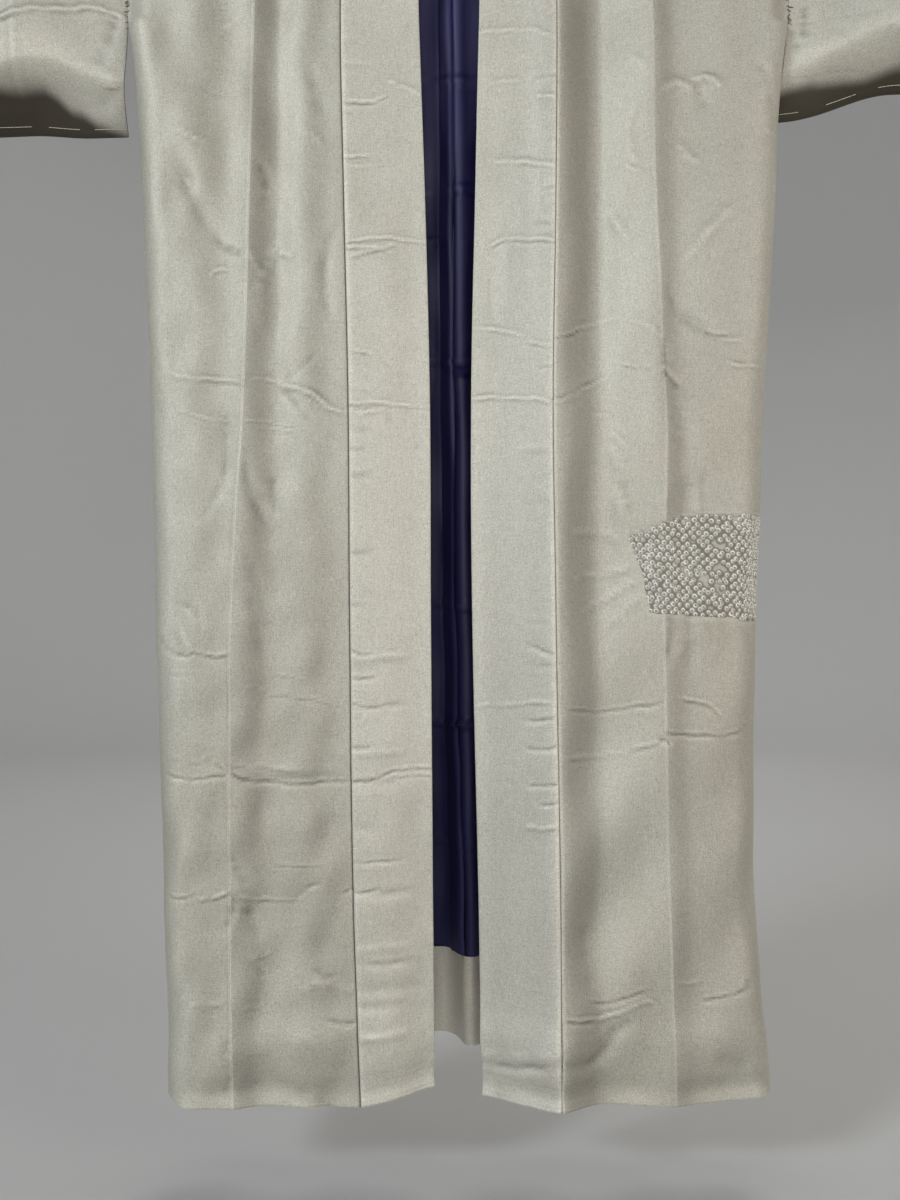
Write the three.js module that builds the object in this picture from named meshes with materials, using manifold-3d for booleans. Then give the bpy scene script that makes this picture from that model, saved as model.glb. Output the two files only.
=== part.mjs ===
// A lined silk kimono robe of straight T cut, open down the front, hung by its shoulders on a wooden rod.
// Millimetres, +Z up, the front faces -Y, +X is on the right of someone who looks at the front.
// The origin is the inside top of the hanger's hook, which bears on whatever carries the robe.
// h is a height measured down from the shoulder line. Sides are -1 (left of the viewer) and +1 (right).
import * as THREE from "three";
import { mergeVertices } from "three/addons/utils/BufferGeometryUtils.js";
import Module from "manifold-3d";

// Driving dimensions
const SILK = 1.5; // outer silk with its seam allowances
const BAND = 2.4; // collar band, folded double
const LINING = 1.0;
const SEAM = 0.3; // gap between sewn pieces
const LAYER = 0.5; // gap between a panel and what lies inside it
const FRONT_LENGTH = 1480; // shoulder to front hem
const BACK_LENGTH = 1450; // the back hem is shorter by the front drop
const SIDE_LENGTH = 1472;
const ARMHOLE = 370; // depth to which the sleeve is sewn on
const NECK_DROP = 34; // how far the neckline falls behind the shoulder line
const BAND_WIDTH = 80;
const FACING_HEIGHT = 95; // outer silk turned up inside the back hem
const CUFF_OPENING = 270;
const ARMHOLE_X = 345; // centre back to the sleeve's seam
const SLEEVE_END = 672; // centre back to cuff
const ROD_RADIUS = 11;
const ROD_LENGTH = 1410;
const ROD_DROP = 130; // hook's bearing point down to the rod's axis
const ROD_CLEARANCE = 0.8;

const FOLD_RADIUS = ROD_RADIUS + ROD_CLEARANCE + SILK / 2; // of the cloth's middle, over the rod
const SHOULDER_Z = FOLD_RADIUS - ROD_DROP;
const ARC = (FOLD_RADIUS * Math.PI) / 2; // cloth from the shoulder line to the rod's level

// Lines that run down the front, by height: x of each
const FRONT_LINES = [
  { h: 0, leftSeam: -104, leftEdge: -60, rightEdge: 50, rightSeam: 92, leftRidge: -206, rightRidge: 197 },
  { h: 180, leftSeam: -115, leftEdge: -46, rightEdge: 30, rightSeam: 98, leftRidge: -208, rightRidge: 197 },
  { h: 356, leftSeam: -121, leftEdge: -41, rightEdge: 22, rightSeam: 101, leftRidge: -210, rightRidge: 198 },
  { h: 564, leftSeam: -117, leftEdge: -34, rightEdge: 17, rightSeam: 99, leftRidge: -214, rightRidge: 201 },
  { h: 769, leftSeam: -112, leftEdge: -29, rightEdge: 13, rightSeam: 95, leftRidge: -219, rightRidge: 209 },
  { h: 980, leftSeam: -110, leftEdge: -28, rightEdge: 14, rightSeam: 97, leftRidge: -229, rightRidge: 207 },
  { h: 1255, leftSeam: -106, leftEdge: -26, rightEdge: 20, rightSeam: 101, leftRidge: -229, rightRidge: 211 },
  { h: 1480, leftSeam: -98, leftEdge: -24, rightEdge: 24, rightSeam: 102, leftRidge: -226, rightRidge: 218 },
];

// The body by height: half widths, depths of front and back from the rod's plane, y of the two side seams,
// and x of the centre back seam
const BODY_LINES = [
  { h: 0, leftX: ARMHOLE_X, rightX: ARMHOLE_X, front: 12.3, back: 12.3, leftY: 0, rightY: 0, centre: -8 },
  { h: 356, leftX: ARMHOLE_X, rightX: ARMHOLE_X, front: 22, back: 24, leftY: 0, rightY: 0, centre: -6 },
  { h: 420, leftX: 337, rightX: 338, front: 25, back: 27, leftY: 0, rightY: 0, centre: -5 },
  { h: 600, leftX: 326, rightX: 327, front: 31, back: 34, leftY: -2, rightY: 0, centre: -4 },
  { h: 769, leftX: 319, rightX: 318, front: 37, back: 42, leftY: -5, rightY: 2, centre: -3 },
  { h: 1000, leftX: 312, rightX: 310, front: 45, back: 55, leftY: -10, rightY: 4, centre: 0 },
  { h: 1235, leftX: 303, rightX: 309, front: 52, back: 68, leftY: -18, rightY: 10, centre: 7 },
  { h: 1400, leftX: 296, rightX: 320, front: 56, back: 76, leftY: -26, rightY: 24, centre: 10 },
  { h: 1480, leftX: 294, rightX: 329, front: 57, back: 79, leftY: -30, rightY: 32, centre: 12 },
];

// Folds that run down a panel: x at armhole level and at the hem, how far they stand out there, half width
const FRONT_FOLDS = [
  { xTop: -210, xHem: -226, outTop: 7, outHem: 4.5, width: 20 },
  { xTop: -190, xHem: -200, outTop: -3.5, outHem: -2.5, width: 15 },
  { xTop: -158, xHem: -150, outTop: 6, outHem: 3, width: 20 },
  { xTop: -270, xHem: -262, outTop: 3, outHem: 6, width: 24 },
  { xTop: -121, xHem: -98, outTop: 4, outHem: 2, width: 18 },
  { xTop: 101, xHem: 102, outTop: 8, outHem: 20, width: 26 },
  { xTop: 143, xHem: 150, outTop: -8, outHem: -3, width: 20 },
  { xTop: 198, xHem: 218, outTop: 8, outHem: 4, width: 22 },
  { xTop: 219, xHem: 238, outTop: -3.5, outHem: -2, width: 15 },
  { xTop: 272, xHem: 262, outTop: 4, outHem: -2, width: 24 },
  { xTop: 300, xHem: 320, outTop: 4, outHem: -24, width: 46 },
  { xTop: -41, xHem: -24, outTop: -2, outHem: -26, width: 34 },
  { xTop: 22, xHem: 24, outTop: -2, outHem: -22, width: 30 },
];
const BACK_FOLDS = [
  { xTop: -2, xHem: 17, outTop: -7, outHem: -46, width: 16 },
  { xTop: -72, xHem: -80, outTop: 5, outHem: 12, width: 30 },
  { xTop: 74, xHem: 92, outTop: 5, outHem: 10, width: 30 },
  { xTop: -150, xHem: -148, outTop: -6, outHem: -12, width: 26 },
  { xTop: 152, xHem: 160, outTop: -6, outHem: -14, width: 28 },
  { xTop: -214, xHem: -222, outTop: 8, outHem: 12, width: 20 },
  { xTop: 216, xHem: 226, outTop: 8, outHem: 11, width: 20 },
];
const BACK_RIDGE = { top: 214, hem: 224 }; // column line on the outermost back fold
const FOLD_START = { from: 20, full: 340 }; // folds grow below the rod over these heights
const SIDE_ROUND = 26; // how far in from the side seam the cloth turns away
const NECK_BULGE = { out: 17, halfWidth: 100, reach: 150 }; // the back stands off behind the neck

// How the columns of a body panel are shared out
const NECK_ANGLES = [90, 78, 62, 47, 33, 20, 9]; // degrees round the neck, centre back to shoulder
const CENTRE_COLUMNS = [0, 9, 18, 30, 44, 62, 82]; // distances from the centre back seam, below the neck
const TO_RIDGE = [0, 0.22, 0.44, 0.66, 0.86, 1]; // shares of the way from the neck's columns to the ridge
const TO_SIDE = [0.14, 0.36, 0.68, 1]; // shares of the way from the ridge to where the side turns
const SIDE_TURN = [26, 52, 76, 90]; // degrees round the side
const ROWS = [60, 120, 190, 250, 310, ARMHOLE, 440, 520, 610, 700, 790, 880, 970, 1060, 1150, 1240];
const FRONT_ROWS = [...ROWS, 1320, 1390, 1440, FRONT_LENGTH];
const BACK_ROWS = [...ROWS, 1300, BACK_LENGTH - FACING_HEIGHT, 1410, BACK_LENGTH];
const ARC_ROWS = 3; // rows from the shoulder line to the rod's level

const radians = (degrees) => (degrees * Math.PI) / 180;
const mix = (a, b, t) => a + (b - a) * t;
const smooth = (from, to, v) => {
  const t = Math.min(1, Math.max(0, (v - from) / (to - from)));
  return t * t * (3 - 2 * t);
};

// A column of a table at height h, by a cubic through its rows.
function read(table, column, h) {
  const last = table.length - 1;
  const v = Math.min(table[last].h, Math.max(0, h));
  let i = 0;
  while (i < last - 1 && v > table[i + 1].h) i++;
  const [a, b] = [table[i], table[i + 1]];
  const [before, after] = [table[Math.max(0, i - 1)], table[Math.min(last, i + 2)]];
  const span = b.h - a.h;
  const t = (v - a.h) / span;
  const slopeA = ((b[column] - before[column]) / (b.h - before.h)) * span;
  const slopeB = ((after[column] - a[column]) / (after.h - a.h)) * span;
  return (
    (2 * t ** 3 - 3 * t ** 2 + 1) * a[column] +
    (t ** 3 - 2 * t ** 2 + t) * slopeA +
    (3 * t ** 2 - 2 * t ** 3) * b[column] +
    (t ** 3 - t ** 2) * slopeB
  );
}

// Distance of the side seam from the centre at height h.
function sideX(side, h) {
  return Math.min(ARMHOLE_X, read(BODY_LINES, side < 0 ? "leftX" : "rightX", h));
}

// How far the folds of a table move the cloth out at (x, h).
function foldsAt(folds, x, h) {
  const grow = smooth(FOLD_START.from, FOLD_START.full, h);
  const t = (h - FOLD_START.full) / (FRONT_LENGTH - FOLD_START.full);
  let out = 0;
  for (const fold of folds) {
    const down = Math.max(0, t);
    const away = (x - mix(fold.xTop, fold.xHem, down)) / fold.width;
    out += mix(fold.outTop, fold.outHem, down) * Math.exp(-away * away);
  }
  return out * grow;
}

// Half the gap at the side seam: closed below the armhole, opening to the rod above it.
function sideGap(h) {
  const t = Math.min(1, Math.max(0, (h - FOLD_RADIUS) / (ARMHOLE - FOLD_RADIUS)));
  return SEAM / 2 + (FOLD_RADIUS - SEAM / 2) * Math.cos((t * Math.PI) / 2);
}

// Marks a point of an edge that lies in a plane: the wall isn't thickened along that axis there.
function inPlane(point, axis) {
  point.planes = [...(point.planes || []), axis];
  return point;
}

// A point of the body's cloth. turn is 0 on the flat of a panel and up to 90 degrees at the side seam.
// along is the distance down the cloth from the shoulder line, and face is -1 for front and 1 for back.
function bodyPoint(side, face, x, along, turn = 0) {
  if (along < ARC) {
    const angle = along / FOLD_RADIUS;
    const stand = face > 0 ? neckBulge(x, SHOULDER_Z) * smooth(0, ARC, along) : 0;
    const y = face * (FOLD_RADIUS * Math.sin(angle) + stand);
    return new THREE.Vector3(x, y, FOLD_RADIUS * Math.cos(angle) - ROD_DROP);
  }
  const z = ARC - along - ROD_DROP;
  const h = SHOULDER_Z - z;
  const front = face < 0;
  const depth = read(BODY_LINES, front ? "front" : "back", h);
  const folds = foldsAt(front ? FRONT_FOLDS : BACK_FOLDS, x, h);
  const seamY = read(BODY_LINES, side < 0 ? "leftY" : "rightY", h);
  const flat = face * (depth + folds + (front ? 0 : neckBulge(x, z)));
  const edge = seamY + face * sideGap(h);
  const share = h < ARMHOLE ? 1 - smooth(0, 90, turn) : Math.cos(radians(turn));
  return new THREE.Vector3(x, mix(edge, flat, share), z);
}

// How far the back stands off behind the neck.
function neckBulge(x, z) {
  const across = Math.min(1, Math.abs(x) / NECK_BULGE.halfWidth);
  const down = (SHOULDER_Z - z) / NECK_BULGE.reach;
  return NECK_BULGE.out * Math.cos((across * Math.PI) / 2) ** 2 * Math.exp(-down * down);
}

// Distance down the cloth at height h, and back.
function alongOf(h) {
  return h < FOLD_RADIUS ? FOLD_RADIUS * Math.acos(1 - h / FOLD_RADIUS) : h - FOLD_RADIUS + ARC;
}

function heightOf(along) {
  return along < ARC ? FOLD_RADIUS * (1 - Math.cos(along / FOLD_RADIUS)) : along - ARC + FOLD_RADIUS;
}

// Where the neckline runs, as a distance behind the shoulder line.
function necklineAlong(side, x) {
  const centre = read(BODY_LINES, "centre", 0);
  const neck = Math.abs(read(FRONT_LINES, side < 0 ? "leftSeam" : "rightSeam", 0) - centre);
  return NECK_DROP * Math.sqrt(Math.max(0, 1 - ((x - centre) / neck) ** 2));
}

// x and turn of each column at height h, on the front (from the band seam) or back (from the centre seam).
function columns(side, face, h) {
  const name = side < 0 ? "left" : "right";
  const startH = face < 0 ? h : Math.min(h, 180);
  const start = Math.abs(read(FRONT_LINES, name + "Seam", startH));
  const frontRidge = Math.abs(read(FRONT_LINES, name + "Ridge", h));
  const ridge = face < 0 ? frontRidge : mix(BACK_RIDGE.top, BACK_RIDGE.hem, h / FRONT_LENGTH);
  const flatEnd = sideX(side, h) - SIDE_ROUND;
  const turned = SIDE_TURN.map((degrees) => {
    const closedX = flatEnd + SIDE_ROUND * Math.sin(radians(degrees));
    const openX = flatEnd + ((SIDE_ROUND + SILK / 2) * degrees) / 90;
    return { x: h < ARMHOLE ? openX : closedX, turn: degrees };
  });
  const list = [
    ...TO_RIDGE.map((share) => ({ x: mix(start, ridge, share), turn: 0 })),
    ...TO_SIDE.map((share) => ({ x: mix(ridge, flatEnd, share), turn: 0 })),
    ...turned,
  ];
  return list.map((column) => ({ x: side * column.x, turn: column.turn }));
}

// The grid of one body panel, cut in one strip: back hem, up over the shoulder, down to the front hem.
function panelGrid(side) {
  const name = side < 0 ? "left" : "right";
  const rows = [];
  for (const h of [...BACK_ROWS].reverse()) rows.push(backRow(h));
  for (let i = ARC_ROWS; i >= 0; i--) rows.push(shoulderRow((ARC * i) / ARC_ROWS));
  for (let i = 1; i <= ARC_ROWS; i++) rows.push(frontRow(heightOf((ARC * i) / ARC_ROWS)));
  for (const h of FRONT_ROWS) rows.push(frontRow(h));
  for (const hem of [rows[0], rows[rows.length - 1]]) hem.forEach((point) => point && inPlane(point, "z"));
  return rows;

  function seamPlanes(row, h) {
    inPlane(row[0], "x");
    inPlane(row[row.length - 1], h < ARMHOLE ? "x" : "y");
    return row;
  }
  function neckColumns(h) {
    const centre = read(BODY_LINES, "centre", h) + (side * SEAM) / 2;
    const neck = read(FRONT_LINES, name + "Seam", 0);
    return NECK_ANGLES.map((degrees, i) => {
      const away = Math.cos(radians(degrees)) * Math.abs(neck - centre);
      return { x: centre + side * mix(away, CENTRE_COLUMNS[i], smooth(40, 250, h)), turn: 0 };
    });
  }
  function backRow(rowH) {
    const low = BACK_ROWS[BACK_ROWS.length - 3];
    const halfWidth = sideX(side, rowH);
    const stretch = Math.max(0, (rowH - low) / (BACK_LENGTH - low));
    const row = [...neckColumns(rowH), ...columns(side, 1, rowH)].map(({ x, turn }) => {
      const h = rowH + stretch * (SIDE_LENGTH - BACK_LENGTH) * Math.min(1, (Math.abs(x) / halfWidth) ** 3);
      return bodyPoint(side, 1, x, alongOf(h), turn);
    });
    return seamPlanes(row, rowH);
  }
  function shoulderRow(along) {
    const top = alongOf(BACK_ROWS[0]);
    const h = heightOf(along);
    const row = [...neckColumns(0), ...columns(side, 1, h)].map(({ x, turn }, i) => {
      if (i >= NECK_ANGLES.length) return bodyPoint(side, 1, x, along, turn);
      return bodyPoint(side, 1, x, mix(necklineAlong(side, x), top, along / top));
    });
    return seamPlanes(row, h);
  }
  function frontRow(rowH) {
    const low = FRONT_ROWS[FRONT_ROWS.length - 2];
    const row = columns(side, -1, rowH).map(({ x, turn }) => {
      const h = rowH <= low ? rowH : mix(FRONT_LENGTH, SIDE_LENGTH, smooth(0, 90, turn));
      return bodyPoint(side, -1, x, alongOf(h), turn);
    });
    return [...NECK_ANGLES.map(() => null), ...seamPlanes(row, rowH)];
  }
}

// A closed wall of cloth from a grid of points in its middle. Cells with a missing corner are left out.
// ring joins the last column to the first.
function wall(grid, thickness, { ring = false, shift = 0 } = {}) {
  const rows = grid.length;
  const cols = grid[0].length;
  const cellCols = ring ? cols : cols - 1;
  const next = (c) => (c + 1) % cols;
  const has = (r, c) =>
    r >= 0 &&
    r < rows - 1 &&
    (ring || (c >= 0 && c < cellCols)) &&
    [grid[r][c], grid[r][next(c)], grid[r + 1][c], grid[r + 1][next(c)]].every(Boolean);
  const normals = grid.map((row) => row.map(() => new THREE.Vector3()));
  const across = new THREE.Vector3();
  const down = new THREE.Vector3();
  for (let r = 0; r < rows - 1; r++) {
    for (let c = 0; c < cellCols; c++) {
      if (!has(r, c)) continue;
      const corners = [[r, c], [r, next(c)], [r + 1, c], [r + 1, next(c)]];
      across.subVectors(grid[r + 1][next(c)], grid[r][c]);
      down.subVectors(grid[r + 1][c], grid[r][next(c)]);
      const normal = across.clone().cross(down).normalize();
      for (const [i, j] of corners) normals[i][j].add(normal);
    }
  }
  const positions = [];
  const index = [];
  const ids = [1, -1].map((face) =>
    grid.map((row, r) =>
      row.map((middle, c) => {
        if (!middle) return -1;
        const normal = normals[r][c];
        for (const axis of middle.planes || []) normal[axis] = 0;
        const moved = middle.clone().addScaledVector(normal.normalize(), shift + (face * thickness) / 2);
        positions.push(moved.x, moved.y, moved.z);
        return positions.length / 3 - 1;
      }),
    ),
  );
  const point = (i) => new THREE.Vector3().fromArray(positions, 3 * i);
  const quad = (a, b, c, d) => {
    if (point(a).distanceTo(point(c)) <= point(b).distanceTo(point(d))) index.push(a, b, c, a, c, d);
    else index.push(b, c, d, b, d, a);
  };
  const [outer, inner] = ids;
  for (let r = 0; r < rows - 1; r++) {
    for (let c = 0; c < cellCols; c++) {
      if (!has(r, c)) continue;
      const n = next(c);
      quad(outer[r][c], outer[r + 1][c], outer[r + 1][n], outer[r][n]);
      quad(inner[r][c], inner[r][n], inner[r + 1][n], inner[r + 1][c]);
      if (!has(r - 1, c)) quad(outer[r][c], outer[r][n], inner[r][n], inner[r][c]);
      if (!has(r + 1, c)) quad(outer[r + 1][n], outer[r + 1][c], inner[r + 1][c], inner[r + 1][n]);
      if (!ring && !has(r, c - 1)) quad(outer[r + 1][c], outer[r][c], inner[r][c], inner[r + 1][c]);
      if (!ring && !has(r, c + 1)) quad(outer[r][n], outer[r + 1][n], inner[r + 1][n], inner[r][n]);
    }
  }
  return closed(positions, index);
}

// A geometry with its faces pointing out.
function closed(positions, index) {
  const geometry = new THREE.BufferGeometry();
  geometry.setAttribute("position", new THREE.Float32BufferAttribute(positions, 3));
  let volume = 0;
  const [a, b, c] = [new THREE.Vector3(), new THREE.Vector3(), new THREE.Vector3()];
  for (let i = 0; i < index.length; i += 3) {
    [a, b, c].forEach((v, k) => v.fromArray(positions, 3 * index[i + k]));
    volume += a.dot(b.cross(c));
  }
  if (volume < 0) index.reverse();
  geometry.setIndex(index);
  const flat = geometry.toNonIndexed();
  flat.computeVertexNormals();
  return flat;
}

// What lies on the inside of the back between two rows of a panel's grid, as far as the side's rounding.
function backLayer(grid, fromRow, toRow) {
  const kept = grid[0].length - 2;
  const copy = (point, column) => (column === 0 ? inPlane(point.clone(), "x") : point.clone());
  return grid.slice(fromRow, toRow + 1).map((row) => row.slice(0, kept).map(copy));
}

// Collar band: one strip up the left front, round the back of the neck and down the right front.
const BAND_ACROSS = [0, 0.3, 0.65, 1]; // shares of its width
const BAND_RISE = { from: 210, shoulder: 42, back: 94 }; // degrees that the band stands up from the cloth
const BAND_HEM_RISE = { left: 9, right: 1 }; // its free corner's height over the hem
const BAND_LIFT = 0.4; // clear of the rod and the neckline

function bandStations() {
  const arcHeights = [0, 1, 2].map((i) => heightOf((ARC * i) / ARC_ROWS));
  const left = [
    ...[...FRONT_ROWS].reverse().map((h) => frontStation(-1, h)),
    ...[...arcHeights].reverse().map((h) => frontStation(-1, h)),
    ...[...NECK_ANGLES].reverse().map((degrees) => neckStation(-1, degrees)),
  ];
  const right = [
    ...NECK_ANGLES.slice(1).map((degrees) => neckStation(1, degrees)),
    ...arcHeights.map((h) => frontStation(1, h)),
    ...FRONT_ROWS.map((h) => frontStation(1, h)),
  ];
  return [...left, ...right];
}

// One section of the band on a front: from the seam to the free edge.
function frontStation(side, h) {
  const name = side < 0 ? "left" : "right";
  const along = alongOf(h);
  const rise = radians(BAND_RISE.shoulder * smooth(BAND_RISE.from, 0, h));
  const lift = (BAND - SILK) / 2 + BAND_LIFT * smooth(ARMHOLE, 100, h);
  const round = Math.min(ARC, along) / FOLD_RADIUS;
  const out = new THREE.Vector3(0, -Math.sin(round), Math.cos(round));
  const startX = read(FRONT_LINES, name + "Seam", h) - side * (SEAM + (BAND / 2) * Math.sin(rise));
  const flatWidth = Math.abs(read(FRONT_LINES, name + "Edge", h) - startX);
  const width = mix(flatWidth, BAND_WIDTH, smooth(420, 200, h));
  const section = BAND_ACROSS.map((share) => {
    const reach = width * share;
    const onCloth = bodyPoint(side, -1, startX - side * reach * Math.cos(rise), along);
    const point = onCloth.addScaledVector(out, lift + reach * Math.sin(rise));
    point.z += share * bandHemRise(name, h);
    return point;
  });
  if (rise < 0.01) inPlane(section[0], "x");
  if (h === FRONT_LENGTH) section.forEach((point) => inPlane(point, "z"));
  return section;
}

function bandHemRise(name, h) {
  return BAND_HEM_RISE[name] * smooth(FRONT_LENGTH - 60, FRONT_LENGTH, h);
}

// One section of the band behind the neck, standing on the neckline.
function neckStation(side, degrees) {
  const name = side < 0 ? "left" : "right";
  const centre = read(BODY_LINES, "centre", 0);
  const neck = Math.abs(read(FRONT_LINES, name + "Seam", 0) - centre);
  const x = centre + side * neck * Math.cos(radians(degrees));
  const start = bodyPoint(side, 1, x, necklineAlong(side, x));
  const rise = radians(mix(BAND_RISE.shoulder, BAND_RISE.back, smooth(0, 90, degrees)));
  const inward = new THREE.Vector3(-side * Math.cos(radians(degrees)), -Math.sin(radians(degrees)), 0);
  start.addScaledVector(inward, (1 - degrees / 90) * (BAND / 2 + SEAM));
  start.z += mix((BAND - SILK) / 2, BAND / 2, smooth(0, 40, degrees)) + BAND_LIFT;
  return BAND_ACROSS.map((share) =>
    start
      .clone()
      .addScaledVector(inward, BAND_WIDTH * share * Math.cos(rise))
      .add(new THREE.Vector3(0, 0, BAND_WIDTH * share * Math.sin(rise))),
  );
}

// Sleeves: a flattened tube round the rod, closed at its foot, at the inner edge below the armhole and
// at the outer edge below the cuff. Drops are at the inner edge and over the rest, curl is how far the
// foot rolls back there, swing how far it comes forward away from the body, and splay how far its inner
// edge stands off.
const SLEEVES = {
  "-1": { innerDrop: 476, outerDrop: 465, curl: 62, swing: 0, splay: 7 },
  1: { innerDrop: 461, outerDrop: 435, curl: 58, swing: -38, splay: 0 },
};
const FOOT_FROM = 0.36; // share of the width at which the sleeve has its outer drop and its whole curl
const CURL_START = 0.88; // share of the drop where the foot begins to roll back
const CURL_CORNER = 0.5; // share of the curl that is left at the sleeve's inner edge
const CURL_KNEE = 0.25; // softness of the bend where it begins
const SLEEVE_STATIONS = [0, 0.04, 0.12, 0.22, 0.34, 0.48, 0.64, 0.8, 0.92, 1];
const SLEEVE_ROWS = [30, 80, 140, 200, 260, 310, 370]; // heights, then shares of what is left to the foot
const SLEEVE_FOOT_ROWS = [0.3, 0.45, 0.56, 0.68, 0.84];
const SLEEVE_HALF_GAP = 15; // half the thickness of the hanging sleeve in its middle
const FOOT_RADIUS = 3;
const CLOSED = SILK / 2 + SEAM / 2; // half gap where the sleeve's two layers are sewn together
const TUCK = 0.3; // share of the sleeve's width over which its edges round in

// Half the distance between the sleeve's two layers.
function sleeveHalfGap(share, h, foot) {
  const middle = mix(FOLD_RADIUS, SLEEVE_HALF_GAP, smooth(0, 200, h));
  const inner = Math.max(CLOSED, sideGap(h));
  const outer = mix(FOLD_RADIUS, CLOSED, smooth(CUFF_OPENING - 90, CUFF_OPENING + 10, h));
  const rounded = (edge, away) => mix(edge, middle, Math.sin((Math.PI / 2) * Math.min(1, away / TUCK)));
  const gap = Math.min(rounded(inner, share), rounded(outer, 1 - share));
  return mix(gap, Math.min(gap, FOOT_RADIUS), smooth(foot - 150, foot - 8, h) ** 2);
}

// x of the sleeve at a share of its width. The right sleeve's inner edge lies along the body's side.
function sleeveX(side, share, h) {
  const seam = side < 0 || h <= ARMHOLE ? ARMHOLE_X : sideLine(h);
  const splay = SLEEVES[side].splay * smooth(ARMHOLE, SLEEVES[side].innerDrop, h);
  return side * mix(seam + splay + SILK / 2 + SEAM, SLEEVE_END, share);
}

// The right side seam as its rows' straight pieces.
function sideLine(h) {
  const i = FRONT_ROWS.findIndex((row) => row >= h);
  const [above, below] = [FRONT_ROWS[i - 1], FRONT_ROWS[i]];
  return mix(sideX(1, above), sideX(1, below), (h - above) / (below - above));
}

// y of the middle between the sleeve's layers: slow waves that grow downwards, the foot's curl and the swing.
function sleeveCentre(side, share, h, foot) {
  const { curl, swing } = SLEEVES[side];
  const down = h / foot;
  const waves = (5 * Math.sin(9 * share + 1) + 3 * Math.sin(17 * share)) * down * smooth(0, 0.35, share);
  const rolled = curl * mix(CURL_CORNER, 1, smooth(0, FOOT_FROM, share)) * footRoll(share, down);
  return rolled + swing * smooth(0, 0.45, share) * down ** 2 + waves;
}

// 0 above the foot's roll and 1 at its end: a soft knee at an uneven height, then a straight slope.
function footRoll(share, down) {
  const start = CURL_START + 0.014 * Math.sin(15 * share + 1);
  const t = Math.max(0, (down - start) / (1 - start));
  return (Math.hypot(t, CURL_KNEE) - CURL_KNEE) / (Math.hypot(1, CURL_KNEE) - CURL_KNEE);
}

// One section across the sleeve, from the foot up the front, over the rod and down the back.
function sleeveRing(side, share) {
  const { innerDrop, outerDrop } = SLEEVES[side];
  const foot = mix(innerDrop, outerDrop, smooth(0, FOOT_FROM, share));
  const at = (h, face, out) => {
    const y = sleeveCentre(side, share, h, foot) + face * out;
    return new THREE.Vector3(sleeveX(side, share, h), y, SHOULDER_Z - h);
  };
  const low = SLEEVE_ROWS[SLEEVE_ROWS.length - 1];
  const heights = [...SLEEVE_ROWS, ...SLEEVE_FOOT_ROWS.map((part) => mix(low, foot, part))];
  const layer = (face) => heights.map((h) => at(h, face, sleeveHalfGap(share, h, foot)));
  const overRod = [-90, -60, -30, 0, 30, 60, 90].map((degrees) => {
    const y = FOLD_RADIUS * Math.sin(radians(degrees));
    const z = FOLD_RADIUS * Math.cos(radians(degrees)) - ROD_DROP;
    return new THREE.Vector3(sleeveX(side, share, 0), y, z);
  });
  const footGap = sleeveHalfGap(share, foot - FOOT_RADIUS, foot);
  const footTurn = [70, 0, -70].map((degrees) => {
    const drop = foot - FOOT_RADIUS * (1 - Math.cos(radians(degrees)));
    return at(drop, 1, footGap * Math.sin(radians(degrees)));
  });
  const points = [...layer(-1).reverse(), ...overRod, ...layer(1), ...footTurn];
  if (share === 0 || share === 1) points.forEach((point) => inPlane(point, "x"));
  return points;
}

// Hanger: a straight wooden rod with a wire hook screwed into the middle of it.
const WIRE_RADIUS = 2.2;
const HOOK_RADIUS = 20; // inside of the hook's bend
const SCREW_DEPTH = 12;
const SAME_POINT = 1e-3; // vertices closer than this are one

function rodGeometry(wasm) {
  const solid = (geometry) => {
    geometry.deleteAttribute("normal");
    geometry.deleteAttribute("uv");
    const { attributes, index } = mergeVertices(geometry, SAME_POINT);
    const vertProperties = attributes.position.array;
    const triVerts = new Uint32Array(index.array);
    return new wasm.Manifold(new wasm.Mesh({ numProp: 3, vertProperties, triVerts }));
  };
  const rod = new THREE.CylinderGeometry(ROD_RADIUS, ROD_RADIUS, ROD_LENGTH, 24).rotateZ(Math.PI / 2);
  const holeRadius = WIRE_RADIUS + SEAM;
  const hole = new THREE.CylinderGeometry(holeRadius, holeRadius, 2 * SCREW_DEPTH, 12)
    .rotateX(Math.PI / 2)
    .translate(0, 0, ROD_RADIUS);
  const cut = solid(rod).subtract(solid(hole)).getMesh();
  const positions = [];
  for (let i = 0; i < cut.numVert; i++) {
    positions.push(...cut.vertProperties.subarray(i * cut.numProp, i * cut.numProp + 3));
  }
  return closed(positions, Array.from(cut.triVerts));
}

function hookGeometry() {
  const bend = HOOK_RADIUS + WIRE_RADIUS; // of the wire's middle
  const holeFoot = ROD_RADIUS - ROD_DROP - SCREW_DEPTH;
  const points = [
    new THREE.Vector3(0, 0, holeFoot + SEAM),
    new THREE.Vector3(0, 0, holeFoot + SCREW_DEPTH + 10),
    new THREE.Vector3(0, 0, -2.8 * bend),
  ];
  for (let degrees = -52; degrees <= 158; degrees += 21) {
    const angle = radians(degrees);
    points.push(new THREE.Vector3(bend * Math.cos(angle), 0, bend * Math.sin(angle) - HOOK_RADIUS));
  }
  const path = new THREE.CatmullRomCurve3(points, false, "centripetal");
  const section = new THREE.Shape();
  section.absarc(0, 0, WIRE_RADIUS, 0, 2 * Math.PI);
  return new THREE.ExtrudeGeometry(section, { steps: 44, curveSegments: 8, extrudePath: path });
}

// Assembly
function material(color, roughness, metalness = 0) {
  return new THREE.MeshStandardMaterial({ color, roughness, metalness });
}

const silk = material(0xb9b5a6, 0.45);
const navy = material(0x221f4c, 0.4);
const wood = material(0x8a6a48, 0.6);
const steel = material(0xb8bcc0, 0.3, 1);

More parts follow.
